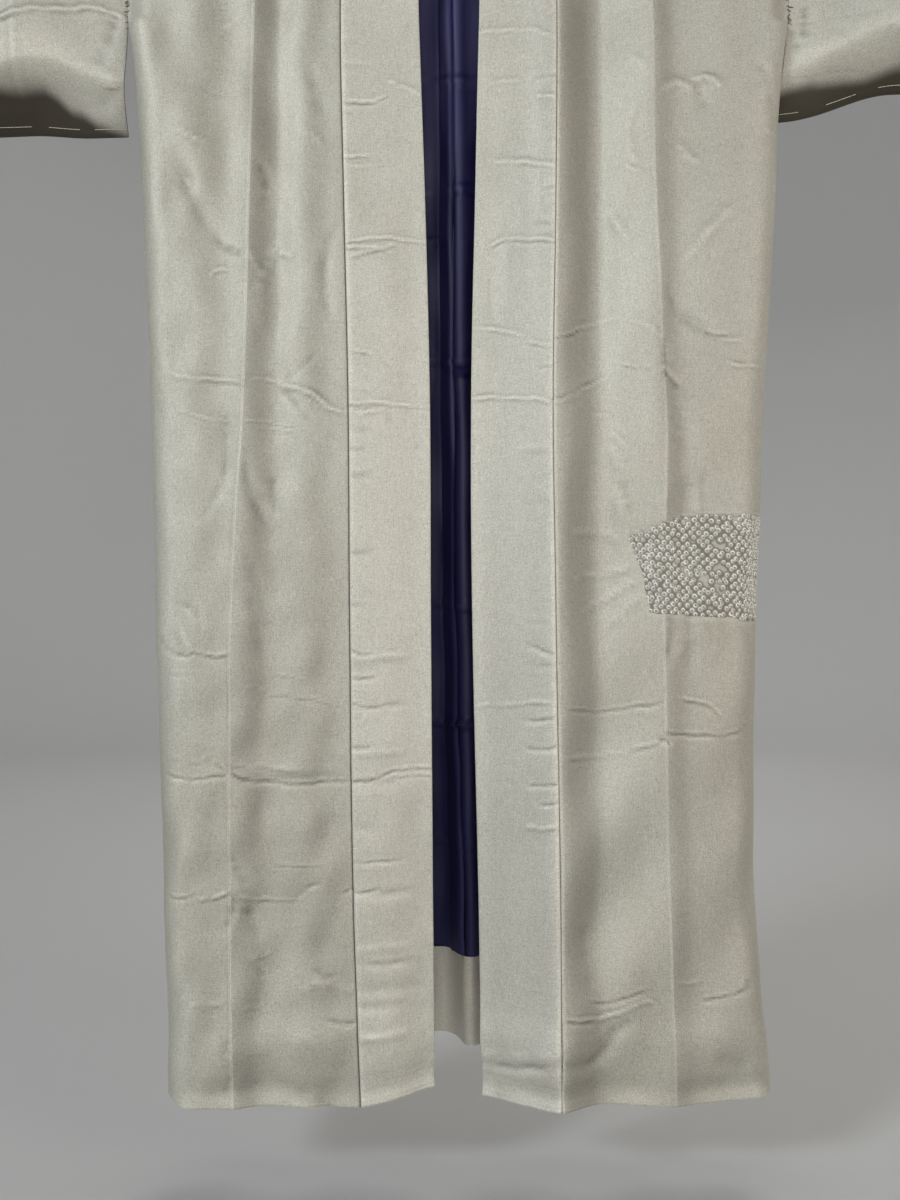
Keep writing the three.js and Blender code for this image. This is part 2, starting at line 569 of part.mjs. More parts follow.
const kimono = new THREE.Group();
function add(name, geometry, itsMaterial) {
  const mesh = new THREE.Mesh(geometry, itsMaterial);
  mesh.name = name;
  kimono.add(mesh);
}

const wasm = await Module();
wasm.setup();

const FACING_TOP_ROW = 2; // row of the panel's grid at the top of the hem facing
const NECK_ROW = BACK_ROWS.length + ARC_ROWS; // row of the neckline
const LINING_TOP_ROW = BACK_ROWS.length - 1; // beside the neck the lining ends below the rod
const LINED_NECK_COLUMNS = NECK_ANGLES.length - 3; // columns that are lined as far up as the neckline
for (const side of [-1, 1]) {
  const name = side < 0 ? "left" : "right";
  const grid = panelGrid(side);
  add("body_" + name, wall(grid, SILK), silk);
  // The grid's normals point out of the robe on one side and into it on the other.
  const inward = side * (SILK / 2 + LAYER + LINING / 2);
  const lining = backLayer(grid, FACING_TOP_ROW, NECK_ROW);
  for (const row of lining.slice(LINING_TOP_ROW - FACING_TOP_ROW + 1)) row.fill(null, LINED_NECK_COLUMNS);
  lining[0].forEach((point) => (point.z += SEAM));
  add("back_lining_" + name, wall(lining, LINING, { shift: inward }), navy);
  const facing = backLayer(grid, 0, FACING_TOP_ROW);
  add("back_hem_facing_" + name, wall(facing, LINING, { shift: inward }), silk);
  const rings = SLEEVE_STATIONS.map((share) => sleeveRing(side, share));
  add("sleeve_" + name, wall(rings, SILK, { ring: true }), silk);
}
add("collar_band", wall(bandStations(), BAND), silk);
add("hanger_rod", rodGeometry(wasm).translate(0, 0, -ROD_DROP), wood);
add("hanger_hook", hookGeometry(), steel);

export default kimono;
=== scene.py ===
"""Looks of a lined silk kimono robe on a hanging rod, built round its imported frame.

Lengths here are millimetres in the frame's own axes: X to the right of someone who looks at the robe's
front, -Y out of the front, Z up, zero at the hook. h is a height measured down from the shoulder line,
and a side is -1 (left of the viewer) or +1. Each piece of cloth is a fine grid on the form of its solid,
with its creases moved out or in along the cloth's normal. Meshes are handed to Blender in metres.
"""
import math

import bpy
import numpy as np
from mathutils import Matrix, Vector


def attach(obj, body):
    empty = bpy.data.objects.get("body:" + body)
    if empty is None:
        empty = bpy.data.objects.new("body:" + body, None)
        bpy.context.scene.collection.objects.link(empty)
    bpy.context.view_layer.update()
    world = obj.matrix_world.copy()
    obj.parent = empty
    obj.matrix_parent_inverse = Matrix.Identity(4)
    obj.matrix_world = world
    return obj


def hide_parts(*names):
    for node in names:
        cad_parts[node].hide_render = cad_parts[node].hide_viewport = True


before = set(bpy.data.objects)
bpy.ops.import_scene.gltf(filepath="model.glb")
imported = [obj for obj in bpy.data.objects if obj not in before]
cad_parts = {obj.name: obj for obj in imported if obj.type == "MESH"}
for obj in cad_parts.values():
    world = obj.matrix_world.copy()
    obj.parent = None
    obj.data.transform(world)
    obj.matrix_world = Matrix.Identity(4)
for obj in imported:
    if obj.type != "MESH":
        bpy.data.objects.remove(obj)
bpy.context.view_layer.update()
random = np.random.default_rng(11)

# ---------------------------------------------------------------- sizes of the robe, as in its solids
SILK, BAND, LINING, SEAM, LAYER = 1.5, 2.4, 1.0, 0.3, 0.5
FRONT_LENGTH, BACK_LENGTH, SIDE_LENGTH = 1480, 1450, 1472
ARMHOLE, NECK_DROP, BAND_WIDTH, FACING_HEIGHT, CUFF_OPENING = 370, 34, 80, 95, 270
ARMHOLE_X, SLEEVE_END = 345, 672
ROD_RADIUS, ROD_DROP, ROD_CLEARANCE = 11, 130, 0.8
FOLD_RADIUS = ROD_RADIUS + ROD_CLEARANCE + SILK / 2
SHOULDER_Z = FOLD_RADIUS - ROD_DROP
ARC = FOLD_RADIUS * math.pi / 2
SIDE_ROUND = 26
NECK_BULGE, NECK_BULGE_HALF, NECK_BULGE_REACH = 17, 100, 150
FOLDS_FROM, FOLDS_FULL = 20, 340
SHELL = 1.1  # thickness of the drawn silk
CLOSED = SILK / 2 + SEAM / 2
FLANGE = {-1: 4.0, 1: 7.0}  # how far each side seam's pressed edge stands forward
BACK_DROP_FROM, FRONT_RISE_FROM = 1355, 1440  # heights from which the rows turn to meet at the side seam
NECK_LEVEL = 60.0  # the columns beside the neck end at the neckline above this height
SEAM_STRAIGHT = 180  # the neck's columns follow the band's seam down to this height, then run straight
SIDE_CALM, SIDE_RELIEF = 14, 0.25  # creases fade to this share over this distance from the side seam
EDGE_ROUND, EDGE_LEAST = 1.4, 0.06  # a raw edge is rounded over this distance, down to this share squared


def columns(names, rows):
    return {name: np.array(column, float) for name, column in zip(names.split(), zip(*rows))}


def table(text):
    """Named columns from text: a line of names, then one row of numbers a line. A line with # is a note."""
    names, *rows = [line for line in text.strip().splitlines() if "#" not in line]
    return columns(names, [row.split() for row in rows])


def rows_of(columns):
    return zip(*columns.values())


FRONT_LINES = table("""
h left_seam left_edge right_edge right_seam left_ridge right_ridge
0 -104 -60 50 92 -206 197
180 -115 -46 30 98 -208 197
356 -121 -41 22 101 -210 198
564 -117 -34 17 99 -214 201
769 -112 -29 13 95 -219 209
980 -110 -28 14 97 -229 207
1255 -106 -26 20 101 -229 211
1480 -98 -24 24 102 -226 218
""")
BODY_LINES = table("""
h left_x right_x front back left_y right_y centre
0 345 345 12.3 12.3 0 0 -8
356 345 345 22 24 0 0 -6
420 337 338 25 27 0 0 -5
600 326 327 31 34 -2 0 -4
769 319 318 37 42 -5 2 -3
1000 312 310 45 55 -10 4 0
1235 303 309 52 68 -18 10 7
1400 296 320 56 76 -26 24 10
1480 294 329 57 79 -30 32 12
""")
FRONT_FOLDS = table("""
x_top x_hem out_top out_hem width
-210 -226 7 4.5 20
-190 -200 -3.5 -2.5 15
-158 -150 6 3 20
-270 -262 3 6 24
-121 -98 4 2 18
101 102 8 20 26
143 150 -8 -3 20
198 218 8 4 22
219 238 -3.5 -2 15
272 262 4 -2 24
300 320 4 -24 46
-41 -24 -2 -26 34
22 24 -2 -22 30
""")
BACK_FOLDS = table("""
x_top x_hem out_top out_hem width
-2 17 -7 -46 16
-72 -80 5 12 30
74 92 5 10 30
-150 -148 -6 -12 26
152 160 -6 -14 28
-214 -222 8 12 20
216 226 8 11 20
""")
SLEEVES = {
    -1: dict(inner_drop=476, outer_drop=465, curl=62, swing=0, splay=7),
    1: dict(inner_drop=461, outer_drop=435, curl=58, swing=-38, splay=0),
}
FOOT_FROM, CURL_START, CURL_CORNER, CURL_KNEE = 0.36, 0.88, 0.5, 0.25
SLEEVE_HALF_GAP, FOOT_RADIUS, TUCK = 15, 3, 0.3
BAND_RISE_FROM, BAND_RISE_SHOULDER, BAND_RISE_BACK, BAND_LIFT = 210, 42, 94, 0.4
BAND_HEM_RISE = {-1: 9, 1: 1}
SIDE_NAME = {-1: "left", 1: "right"}

# ---------------------------------------------------------------- creases that the cloth was pressed into
# A crease runs through three points (x, h) and rises by out over its half width. step tips it: the cloth
# after the line, on the right hand of someone who goes along it, is lower by step and before it higher.
FRONT_CREASES = table("""
x0 h0 x1 h1 x2 h2 out step width
# left front, across the panel
-299 741 -262 748 -218 751 0.9 0.7 2.8
-210 750 -194 748 -180 755 0.4 0.4 2.6
-180 756 -156 761 -134 777 1.3 1.1 3
-134 777 -123 781 -112 783 0.8 0.7 2.6
-179 757 -165 774 -147 793 -1.2 0.5 4
-144 719 -159 737 -176 750 -1 0.4 4.5
-217 791 -192 792 -165 797 0.1 0.4 2
-200 798 -176 800 -150 803 0.1 0.4 2
-288 780 -257 788 -228 793 0.1 0.4 2
-296 493 -275 498 -259 507 0.4 0.8 2.8
-253 643 -245 636 -232 638 0.9 0.5 2.4
-157 495 -150 496 -141 505 0.8 0.3 2.8
-224 375 -233 381 -240 385 0.8 0 2.6
-185 1048 -170 1049 -156 1052 0.2 0.5 2
-218 1059 -164 1070 -113 1079 0.2 0.6 2.2
-294 1045 -284 1046 -273 1045 0.1 0.4 2
-294 1130 -270 1135 -254 1133 0.2 0.6 2.2
-254 1133 -244 1135 -234 1142 0.3 0.6 2.2
-295 1148 -265 1151 -234 1147 -0.7 1.1 2.5
-228 1136 -198 1141 -159 1144 0.3 0.6 2.6
-228 1147 -198 1154 -166 1156 -1 1.4 2.6
-166 1156 -137 1155 -110 1152 -0.6 1.1 2.5
-228 1143 -185 1148 -119 1147 0 0.9 6.5
-293 1268 -281 1271 -266 1267 -0.3 1.1 2.5
-260 1273 -245 1271 -229 1266 0.7 1 2.6
-221 1267 -198 1274 -158 1272 0.3 0.7 2.5
-187 1234 -163 1239 -132 1237 0.1 0.5 2
-278 1372 -254 1377 -224 1373 0.6 0.7 2.6
-268 1382 -253 1383 -240 1383 0 0.5 2.4
-220 1379 -205 1381 -190 1384 0.3 0.5 2.4
# left front, diagonal and round
-239 779 -235 839 -252 873 -2 0 6
-252 873 -255 881 -261 889 -0.8 0 4
-213 815 -208 871 -181 909 -1.8 0.5 5
-188 838 -185 871 -179 902 -1.4 0.3 4.5
-201 841 -195 870 -182 895 1.2 0 4
-215 922 -203 962 -189 999 -1.3 0.3 6.5
-283 975 -264 984 -262 1006 -1 0.4 3.2
-283 994 -275 1013 -268 1025 1.4 0 2.8
-301 1009 -291 1023 -277 1027 -1.3 0.7 3
-277 1027 -273 1028 -266 1023 -0.6 0.8 2.6
-268 1023 -248 1028 -229 1027 0.6 1.1 2.5
-212 966 -205 998 -199 1034 -1.1 0 6
-223 1269 -226 1285 -232 1303 -1.5 0.3 2.8
-225 1232 -220 1244 -212 1262 -1.3 0.4 3
-212 1278 -204 1301 -196 1347 -1.5 0.5 5.5
-207 1332 -202 1335 -196 1344 1.2 0.4 2.6
-203 1326 -198 1331 -192 1328 0.8 0.4 2.6
-141 1258 -153 1263 -164 1275 -1 0.6 3.2
-115 1265 -109 1262 -104 1261 -0.8 0.6 2.8
-141 1342 -134 1348 -127 1349 -1.5 0.4 4
-127 1391 -117 1394 -104 1394 -1.2 0.9 3
-153 1363 -143 1357 -133 1362 1.3 0.2 4.5
-159 1413 -151 1410 -141 1417 1.2 0.2 5.5
-184 1446 -159 1465 -129 1477 -2.6 0.6 9
-119 1359 -111 1364 -105 1361 1 0.3 4
-229 1413 -232 1420 -234 1427 -1.1 0.2 2.6
-228 1450 -230 1458 -231 1464 -1.1 0.2 2.6
-288 509 -272 555 -246 600 -2.4 0.6 8
-246 600 -233 613 -219 618 -1.7 0.9 4.5
-205 524 -196 545 -201 569 -1.3 0.3 3.5
-210 619 -206 630 -201 637 1.1 -0.2 2.6
-187 606 -193 623 -199 639 1.1 0.2 2.6
-201 639 -203 664 -202 690 1.2 0 3
-182 616 -178 618 -173 621 1.2 0 2.4
-120 585 -135 628 -130 686 -1.5 0.5 6
-153 426 -147 449 -142 471 -1.3 0 7
# left band
-119 461 -96 463 -74 455 -0.7 1.2 2.4
-74 440 -58 444 -40 454 0.8 0.2 2.6
-117 520 -103 519 -89 517 -0.3 0.8 2.3
-116 528 -101 528 -84 526 0.6 0 2.6
-115 607 -70 603 -32 606 -0.2 0.7 2.2
-115 612 -102 611 -84 610 1.7 -0.3 2.2
-115 623 -88 617 -63 607 -0.8 0.6 2.8
-112 773 -104 774 -94 772 -1 0.7 2.6
-94 773 -70 773 -31 777 -0.3 0.8 2.3
-108 781 -92 781 -74 776 0.9 0 2.8
-74 776 -71 781 -69 789 -0.9 0.3 2.2
-111 719 -100 720 -88 723 -0.3 0.7 2.3
-110 796 -102 797 -92 797 -1 0.3 4.5
-110 819 -103 819 -96 818 -0.8 0.2 3.2
-110 846 -100 845 -89 842 -1 0.3 4
-109 925 -99 924 -88 922 -1 0.3 3.6
-107 1023 -99 1026 -89 1026 -1 0.6 2.6
-107 1050 -95 1051 -82 1048 -1.3 0.8 2.6
-107 1076 -93 1079 -79 1080 -0.7 0.8 2.4
-107 1120 -100 1121 -92 1120 -1.1 0.4 2.8
-107 1154 -86 1152 -66 1144 -1.6 1.3 3
-66 1144 -49 1143 -27 1143 0.3 0.8 2.4
-69 1151 -47 1151 -27 1152 -0.2 0.5 2.2
-104 1234 -84 1235 -59 1234 -0.8 0.6 2.8
-104 1265 -94 1265 -82 1262 -1.2 0.6 2.8
# right band
23 390 64 387 100 400 0.5 0.5 2.8
30 443 48 440 68 441 0.5 0.3 2.8
81 457 90 459 100 459 0.9 0.6 2.4
29 521 63 525 99 530 1 0.4 2.8
33 610 58 604 99 609 -0.2 1 2.4
13 695 48 698 71 710 0.5 0.5 2.4
71 710 83 714 95 715 0.2 0.7 2.3
15 768 50 766 94 773 1 0.5 2.3
17 1082 57 1078 98 1075 0.5 0.3 2.8
72 1016 84 1022 96 1026 -0.9 0.5 2.8
69 1092 82 1092 94 1089 -1.1 0.6 3
72 1120 84 1121 96 1118 -1.2 0.6 3
72 1157 84 1157 98 1155 -1.2 0.6 3
82 1176 89 1176 98 1174 -1 0.5 2.6
69 1200 82 1201 97 1198 1 0.4 2.8
21 1431 52 1431 98 1419 1.4 0 6
21 1445 57 1440 100 1431 -2.4 1.2 6
# right front, across the panel
227 503 233 516 245 524 1.3 0.2 2.4
172 526 178 531 185 533 0.9 0.3 2.6
177 415 183 419 188 425 0.7 0.3 2.6
121 696 157 685 187 691 0.7 0.2 2.8
187 691 195 695 201 701 0.7 0.2 2.8
93 705 113 703 127 693 -0.5 0.9 2.4
93 772 120 761 152 742 0.2 -0.9 2.8
253 698 264 701 274 701 -1 0.9 2.6
270 705 279 706 289 705 1.1 -0.3 2.4
276 730 295 732 312 730 0.9 -0.4 2.4
168 732 183 736 197 736 -0.3 0.5 2.3
226 783 246 785 264 784 0.5 0 2
226 793 243 794 258 794 0.5 0 2
214 804 236 802 258 802 0.5 0 2
139 783 151 784 163 788 0.5 0.3 2.3
155 802 165 811 176 819 0.9 0.3 3
316 490 320 492 325 492 0.9 0.4 2.4
111 1082 164 1082 205 1073 -0.3 1 2.6
223 1073 249 1077 264 1089 0.7 0.9 2.6
208 1103 259 1109 294 1099 -0.3 1.1 2.5
104 1133 158 1128 203 1116 0.3 0.9 2.6
203 1114 207 1113 211 1116 -1.8 0 2.4
131 1374 159 1373 189 1361 -0.7 1.1 2.6
103 1385 142 1388 183 1375 0.6 -1 2.8
183 1375 194 1373 202 1383 0.7 -0.7 2.8
107 1388 119 1391 130 1392 -0.7 0.7 2.6
191 1419 202 1418 211 1415 0.4 0.5 2.2
247 1373 271 1371 284 1366 -0.3 1.1 2.4
284 1366 288 1364 289 1359 -0.3 1.1 2.4
222 1355 232 1356 243 1355 0.7 -0.3 2.6
# right front, diagonal and round
213 450 226 442 238 451 1.9 0.4 4.5
246 439 254 436 265 446 2.1 0.4 4
244 443 247 454 252 465 -2 0 4
247 434 254 432 261 434 -0.9 0.5 2.4
174 501 176 514 182 522 0.9 0.2 2.6
184 460 174 482 175 499 0.7 0 3
284 565 255 597 226 631 2 0.4 4.5
308 423 319 442 324 467 -1.1 0.2 4.5
150 566 161 585 175 606 1.1 0.1 3.5
215 654 231 680 259 697 -1.9 0.5 6.5
209 709 210 721 210 731 -1.5 0 2.6
210 740 216 746 223 754 -1.8 0.4 3
157 818 161 828 165 838 1.1 0.2 3.4
170 855 172 869 176 882 -1.6 0.6 3.4
165 866 165 877 167 890 1.1 0 3
103 1428 134 1431 154 1407 -3 0.7 8
154 1407 160 1401 170 1396 -2.2 0.5 7
260 1435 275 1438 288 1444 -2.4 0 9
126 1303 129 1333 130 1363 -1.8 0 9
# round the tied patch
118 905 142 902 164 912 1.2 0 4.7
120 950 150 944 182 938 1.2 0 3.1
128 985 160 964 187 950 1.2 0 3.1
150 1000 170 980 190 966 1 0 2.8
# gathers above and below the tied patch
228 780 233 845 229 888 -1.9 0 9
250 838 249 864 252 884 -1 0 5
240 846 240 868 243 886 0.9 0 5
207 862 206 878 209 892 0.8 0 4
214 988 214 1008 210 1036 -1.3 0 4.5
232 986 236 1010 232 1044 -1.2 0 5
223 988 225 1010 222 1030 0.9 0 4
258 990 262 1010 258 1030 0.8 0 4.5
# above the view: like those below it
-310 160 -260 166 -214 162 1.4 1.4 3.5
-206 164 -160 170 -120 166 1.4 1.2 3.5
-322 300 -280 304 -240 299 1.2 1 3.5
-200 318 -160 312 -122 316 1.2 1 3.5
-262 96 -232 130 -214 182 2 0 7
-110 232 -80 234 -50 231 1.2 1.5 2.7
102 168 150 164 196 170 1.4 1.4 3.5
204 176 260 170 322 178 1.4 1.4 3.5
104 302 140 308 182 303 1.2 1 3.5
222 318 262 312 318 320 1.2 1.2 3.5
300 80 262 132 232 210 2.2 0 7
36 246 62 249 98 245 1.2 1.4 2.7
""")
BACK_CREASES = table("""
x0 h0 x1 h1 x2 h2 out step width
-322 166 -200 172 -20 165 1.4 1.4 3.5
10 165 160 170 320 163 1.4 1.4 3.5
-316 316 -170 310 -24 318 1.2 1.2 3.5
12 318 170 322 322 312 1.2 1 3.5
-310 461 -160 466 -12 460 1.2 1.5 3.5
14 463 180 458 318 466 1.2 1.4 3.5
-306 608 -150 604 -14 612 1.5 1 3.5
14 610 160 616 312 606 1.5 1 3.5
-304 746 -160 751 -14 748 1.7 1.5 3.5
14 747 150 742 300 750 1.7 1.5 3.5
-300 1023 -150 1018 -14 1026 1.2 1.4 3.5
14 1025 160 1030 300 1021 1.2 1.4 3.5
-298 1150 -150 1144 -10 1152 2 2 3.5
20 1151 150 1156 298 1147 2 2 3.5
-292 1268 -150 1272 -10 1265 1.2 1.2 3.5
30 1266 160 1262 300 1270 1.2 1.2 3.5
-290 1378 -150 1372 -10 1381 1.4 1.2 3.5
36 1379 170 1384 310 1374 1.4 1.2 3.5
-250 560 -200 640 -170 720 2.4 0 7
250 860 200 940 170 1000 2.4 0 7
-240 1290 -200 1340 -150 1400 2.5 0 7.8
240 240 200 300 180 380 2 0 7
""")
LINING_CREASES = table("""
x0 h0 x1 h1 x2 h2 out step width
-60 420 0 424 60 419 0.7 1.4 2.3
-60 538 0 540 60 537 0.7 1.4 2.3
-50 590 0 593 50 588 0.5 0.8 2.3
-60 715 0 719 70 716 1.4 2 2.7
-10 725 10 733 40 728 0.8 1.4 2.3
-60 975 0 978 60 974 0.7 1.2 2.7
-60 1102 0 1106 60 1101 1.2 1.7 2.7
-60 1240 0 1238 60 1243 0.7 1 2.7
""")
SLEEVE_CREASES = table("""
x0 h0 x1 h1 x2 h2 out step width
# left sleeve
-476 370 -438 362 -401 359 1.7 1.3 3.2
-401 359 -371 358 -345 369 1.7 1.3 3.2
-463 60 -464 240 -463 456 1 0.9 3.4
-358 366 -364 383 -374 408 -4 0 8
-347 409 -351 409 -355 407 -1.2 0 3
-379 460 -365 450 -347 447 -1.6 0 7
-446 424 -441 427 -436 425 3 0 17
-362 428 -360 431 -358 434 3 0 11
-660 366 -560 360 -482 368 1.4 1.2 3.2
-662 214 -560 220 -480 212 1.4 1.2 3.2
-458 212 -400 216 -352 210 1.2 1 3.2
-360 60 -400 120 -430 200 2 0 7
-620 90 -580 150 -560 240 2 0 7
-600 300 -560 380 -600 440 2.2 0 7
# right sleeve
361 358 362 368 360 379 -4 0 7
347 384 350 389 354 393 -2.4 0 5
372 402 400 398 432 410 2.4 0 14
350 430 380 426 420 418 -0.8 0 9
468 60 467 240 470 430 1 0.9 3.4
480 352 560 346 660 354 1.4 1.2 3.2
480 214 560 220 662 212 1.4 1.2 3.2
352 212 400 216 458 210 1.2 1 3.2
360 60 400 120 430 200 2 0 7
620 90 580 150 560 240 2 0 7
590 300 560 380 600 420 2.2 0 7
""")
# Small puckers where the band is sewn on: the stretches of each seam that have them, and how many.
PUCKERS = table("""
side from_h to_h count reach out
-1 380 1010 10 26 0.5
-1 1010 1480 14 66 0.9
1 380 800 9 24 0.5
1 800 1400 9 40 0.3
-1 40 380 7 20 0.6
1 40 380 7 20 0.6
""")

# ---------------------------------------------------------------- the tied patch (kanoko shibori)
PATCH_OUTLINE = table("""
h left right
884 262 330
888 224 330
895 205 330
903 186 330
909 171 330
920 176 330
930 179 330
948 186 330
968 189 330
986 193 330
991 280 330
995 294 330
""")
PATCH_ROUND_BACK = 58  # how far the patch runs on round the side seam
PATCH_FROM_X, PATCH_STEP = 165.0, 0.88  # its fine grid starts at this x, with points this far apart
BARE = table("""
x h rx rh
238 913.5 4 3.5
269 917.5 9 5.5
205 911 4 3.5
221 911 3.5 3
269 940 7 3.5
252 954 6 5
265 961 4.5 4
258 982 5.5 3.5
226 947 2.5 2.5
""")
KNOT_PITCH, KNOT_ROW, KNOT_SLOPE = 8.6, 4.4, 0.09
KNOT_HEIGHT, KNOT_RADIUS, RING_RADIUS, RING_WIDTH = 2.3, 2.05, 1.55, 0.4


# ---------------------------------------------------------------- small mathematics
def mix(a, b, t):
    return a + (b - a) * t


def smooth(start, end, v):
    t = np.clip((v - start) / (end - start), 0, 1)
    return t * t * (3 - 2 * t)


def read(lines, column, h):
    """A column of a table at height h, by a cubic through its rows."""
    hs, vs = lines["h"], lines[column]
    last = len(hs) - 1
    v = np.clip(h, hs[0], hs[-1])
    a = np.clip(np.searchsorted(hs, v) - 1, 0, last - 1)
    b, before, after = a + 1, np.maximum(a - 1, 0), np.minimum(a + 2, last)
    span = hs[b] - hs[a]
    t = (v - hs[a]) / span
    slope_a = (vs[b] - vs[before]) / (hs[b] - hs[before]) * span
    slope_b = (vs[after] - vs[a]) / (hs[after] - hs[a]) * span
    return (
        (2 * t**3 - 3 * t**2 + 1) * vs[a]
        + (t**3 - 2 * t**2 + t) * slope_a
        + (3 * t**2 - 2 * t**3) * vs[b]
        + (t**3 - t**2) * slope_b
    )


def side_x(side, h):
    return np.minimum(ARMHOLE_X, read(BODY_LINES, SIDE_NAME[side] + "_x", h))


def off_side(side, x, h):
    """0 at the side seam and 1 clear of it."""
    return np.clip((side_x(side, h) - np.abs(x)) / SIDE_CALM, 0, 1)


def front_line(side, line, h):
    return read(FRONT_LINES, SIDE_NAME[side] + "_" + line, h)


def centre_x(h):
    return read(BODY_LINES, "centre", h)


def rounded(thickness, from_edge):
    return thickness * np.sqrt(np.clip(from_edge / EDGE_ROUND, EDGE_LEAST, 1))


def folds_at(folds, x, h):
    down = np.maximum(0, (h - FOLDS_FULL) / (FRONT_LENGTH - FOLDS_FULL))
    out = np.zeros_like(down)
    for x_top, x_hem, out_top, out_hem, width in rows_of(folds):
        out = out + mix(out_top, out_hem, down) * np.exp(-(((x - mix(x_top, x_hem, down)) / width) ** 2))
    return out * smooth(FOLDS_FROM, FOLDS_FULL, h)


def side_gap(h):
    t = np.clip((h - FOLD_RADIUS) / (ARMHOLE - FOLD_RADIUS), 0, 1)
    return SEAM / 2 + (FOLD_RADIUS - SEAM / 2) * np.cos(t * math.pi / 2)


def neck_bulge(x, h):
    across = np.minimum(1, np.abs(x) / NECK_BULGE_HALF)
    return NECK_BULGE * np.cos(across * math.pi / 2) ** 2 * np.exp(-((h / NECK_BULGE_REACH) ** 2))


def along_of(h):
    arc = FOLD_RADIUS * np.arccos(np.clip(1 - h / FOLD_RADIUS, -1, 1))
    return np.where(h < FOLD_RADIUS, arc, h - FOLD_RADIUS + ARC)


def height_of(along):
    arc = FOLD_RADIUS * (1 - np.cos(along / FOLD_RADIUS))
    return np.where(along < ARC, arc, along - ARC + FOLD_RADIUS)


def points(x, y, z):
    return np.stack(np.broadcast_arrays(x, y, z), axis=-1).astype(float)


def body_point(side, face, x, along, turn=0.0):
    """Middle of the body's cloth: face is -1 in front and 1 behind, turn the degrees round the side."""
    x, along, turn = np.broadcast_arrays(*(np.asarray(value, float) for value in (x, along, turn)))
    angle = np.minimum(along, ARC) / FOLD_RADIUS
    bulge = neck_bulge(x, 0) * smooth(0, ARC, along) if face > 0 else 0
    arc_y = face * (FOLD_RADIUS * np.sin(angle) + bulge)
    arc_z = FOLD_RADIUS * np.cos(angle) - ROD_DROP
    z = ARC - along - ROD_DROP
    h = SHOULDER_Z - z
    depth = read(BODY_LINES, "front" if face < 0 else "back", h)
    depth = depth + folds_at(FRONT_FOLDS if face < 0 else BACK_FOLDS, x, h)
    if face > 0:
        depth = depth + neck_bulge(x, h)
    edge = read(BODY_LINES, SIDE_NAME[side] + "_y", h) + face * side_gap(h)
    share = np.where(h < ARMHOLE, 1 - smooth(0, 90, turn), np.cos(np.radians(turn)))
    flange = FLANGE[side] * smooth(50, 90, turn) * smooth(480, 560, h)
    hanging_y = mix(edge, face * depth, share) - flange
    return points(x, np.where(along < ARC, arc_y, hanging_y), np.where(along < ARC, arc_z, z))


def neck_half(side, centre):
    return np.abs(front_line(side, "seam", 0) - centre)


def neckline_along(side, x):
    centre = centre_x(0)
    return NECK_DROP * np.sqrt(np.maximum(0, 1 - ((x - centre) / neck_half(side, centre)) ** 2))


UPRIGHT_WIDTH = 5.4  # the least half width of an upright crease, because columns are further apart than rows


def crease_field(creases, x, h):
    """How far a table of creases moves the cloth out at each (x, h)."""
    out = np.zeros_like(x)
    t = np.linspace(0, 1, 41)
    draw = np.random.default_rng(len(creases["x0"]))
    for x0, h0, x1, h1, x2, h2, height, step, width in rows_of(creases):
        wander, pulse, slow = draw.uniform(0, 2 * math.pi, 3)
        cx = (1 - t) ** 2 * x0 + 2 * t * (1 - t) * (2 * x1 - (x0 + x2) / 2) + t**2 * x2
        ch = (1 - t) ** 2 * h0 + 2 * t * (1 - t) * (2 * h1 - (h0 + h2) / 2) + t**2 * h2
        length = math.hypot(x2 - x0, h2 - h0)
        width = max(width, UPRIGHT_WIDTH * abs(h2 - h0) / length)
        steady = min(1, length / width / 12)
        loose = length * steady**2  # a short crease runs straight and keeps one height
        ch = ch + loose * (0.012 * np.sin(9 * t + wander) + 0.006 * np.sin(23 * t + pulse))
        reach = 3.2 * width
        near = (x > cx.min() - reach) & (x < cx.max() + reach)
        near &= (h > ch.min() - reach) & (h < ch.max() + reach)
        if not near.any():
            continue
        px, ph = x[near], h[near]
        dx, dh = px[:, None] - cx, ph[:, None] - ch
        k = np.argmin(dx**2 + dh**2, axis=1)
        tangent = np.stack([np.gradient(cx), np.gradient(ch)], axis=1)
        tangent /= np.linalg.norm(tangent, axis=1, keepdims=True)
        rows = np.arange(len(k))
        side = dx[rows, k] * -tangent[k, 1] + dh[rows, k] * tangent[k, 0]
        past = dx[rows, k] * tangent[k, 0] + dh[rows, k] * tangent[k, 1]
        past = np.where((k == 0) | (k == len(t) - 1), past, 0)
        u, v = side / width, past / width
        end = np.clip(np.minimum(t[k], 1 - t[k]) / 0.22, 0, 1)
        strength = mix(1, 0.3 + 0.7 * end * (2 - end), steady) * np.exp(-2 * v * v)
        pulses = 0.28 * np.sin(6.5 * t[k] + slow) + 0.2 * np.sin(17 * t[k] + pulse)
        strength = strength * (0.72 + steady * pulses)
        out[near] += strength * (height - step * 1.6 * u) * np.exp(-u * u)
    return out


def waves(x, h, amount, length, seed):
    """Slow unevenness of the cloth, from a few sine waves with seeded directions."""
    draw = np.random.default_rng(seed)
    out = np.zeros_like(x)
    for _ in range(7):
        kx, kh, phase = draw.normal(0, 1), draw.normal(0, 0.55), draw.uniform(0, 2 * math.pi)
        out += np.sin((kx * x + kh * h) / length + phase)
    return out * amount / 2.6


# ---------------------------------------------------------------- meshes
PAINTED_SHADING_GAIN = 3.2  # turns a bend in 1/mm into a share of the painted shade of the deepest crease
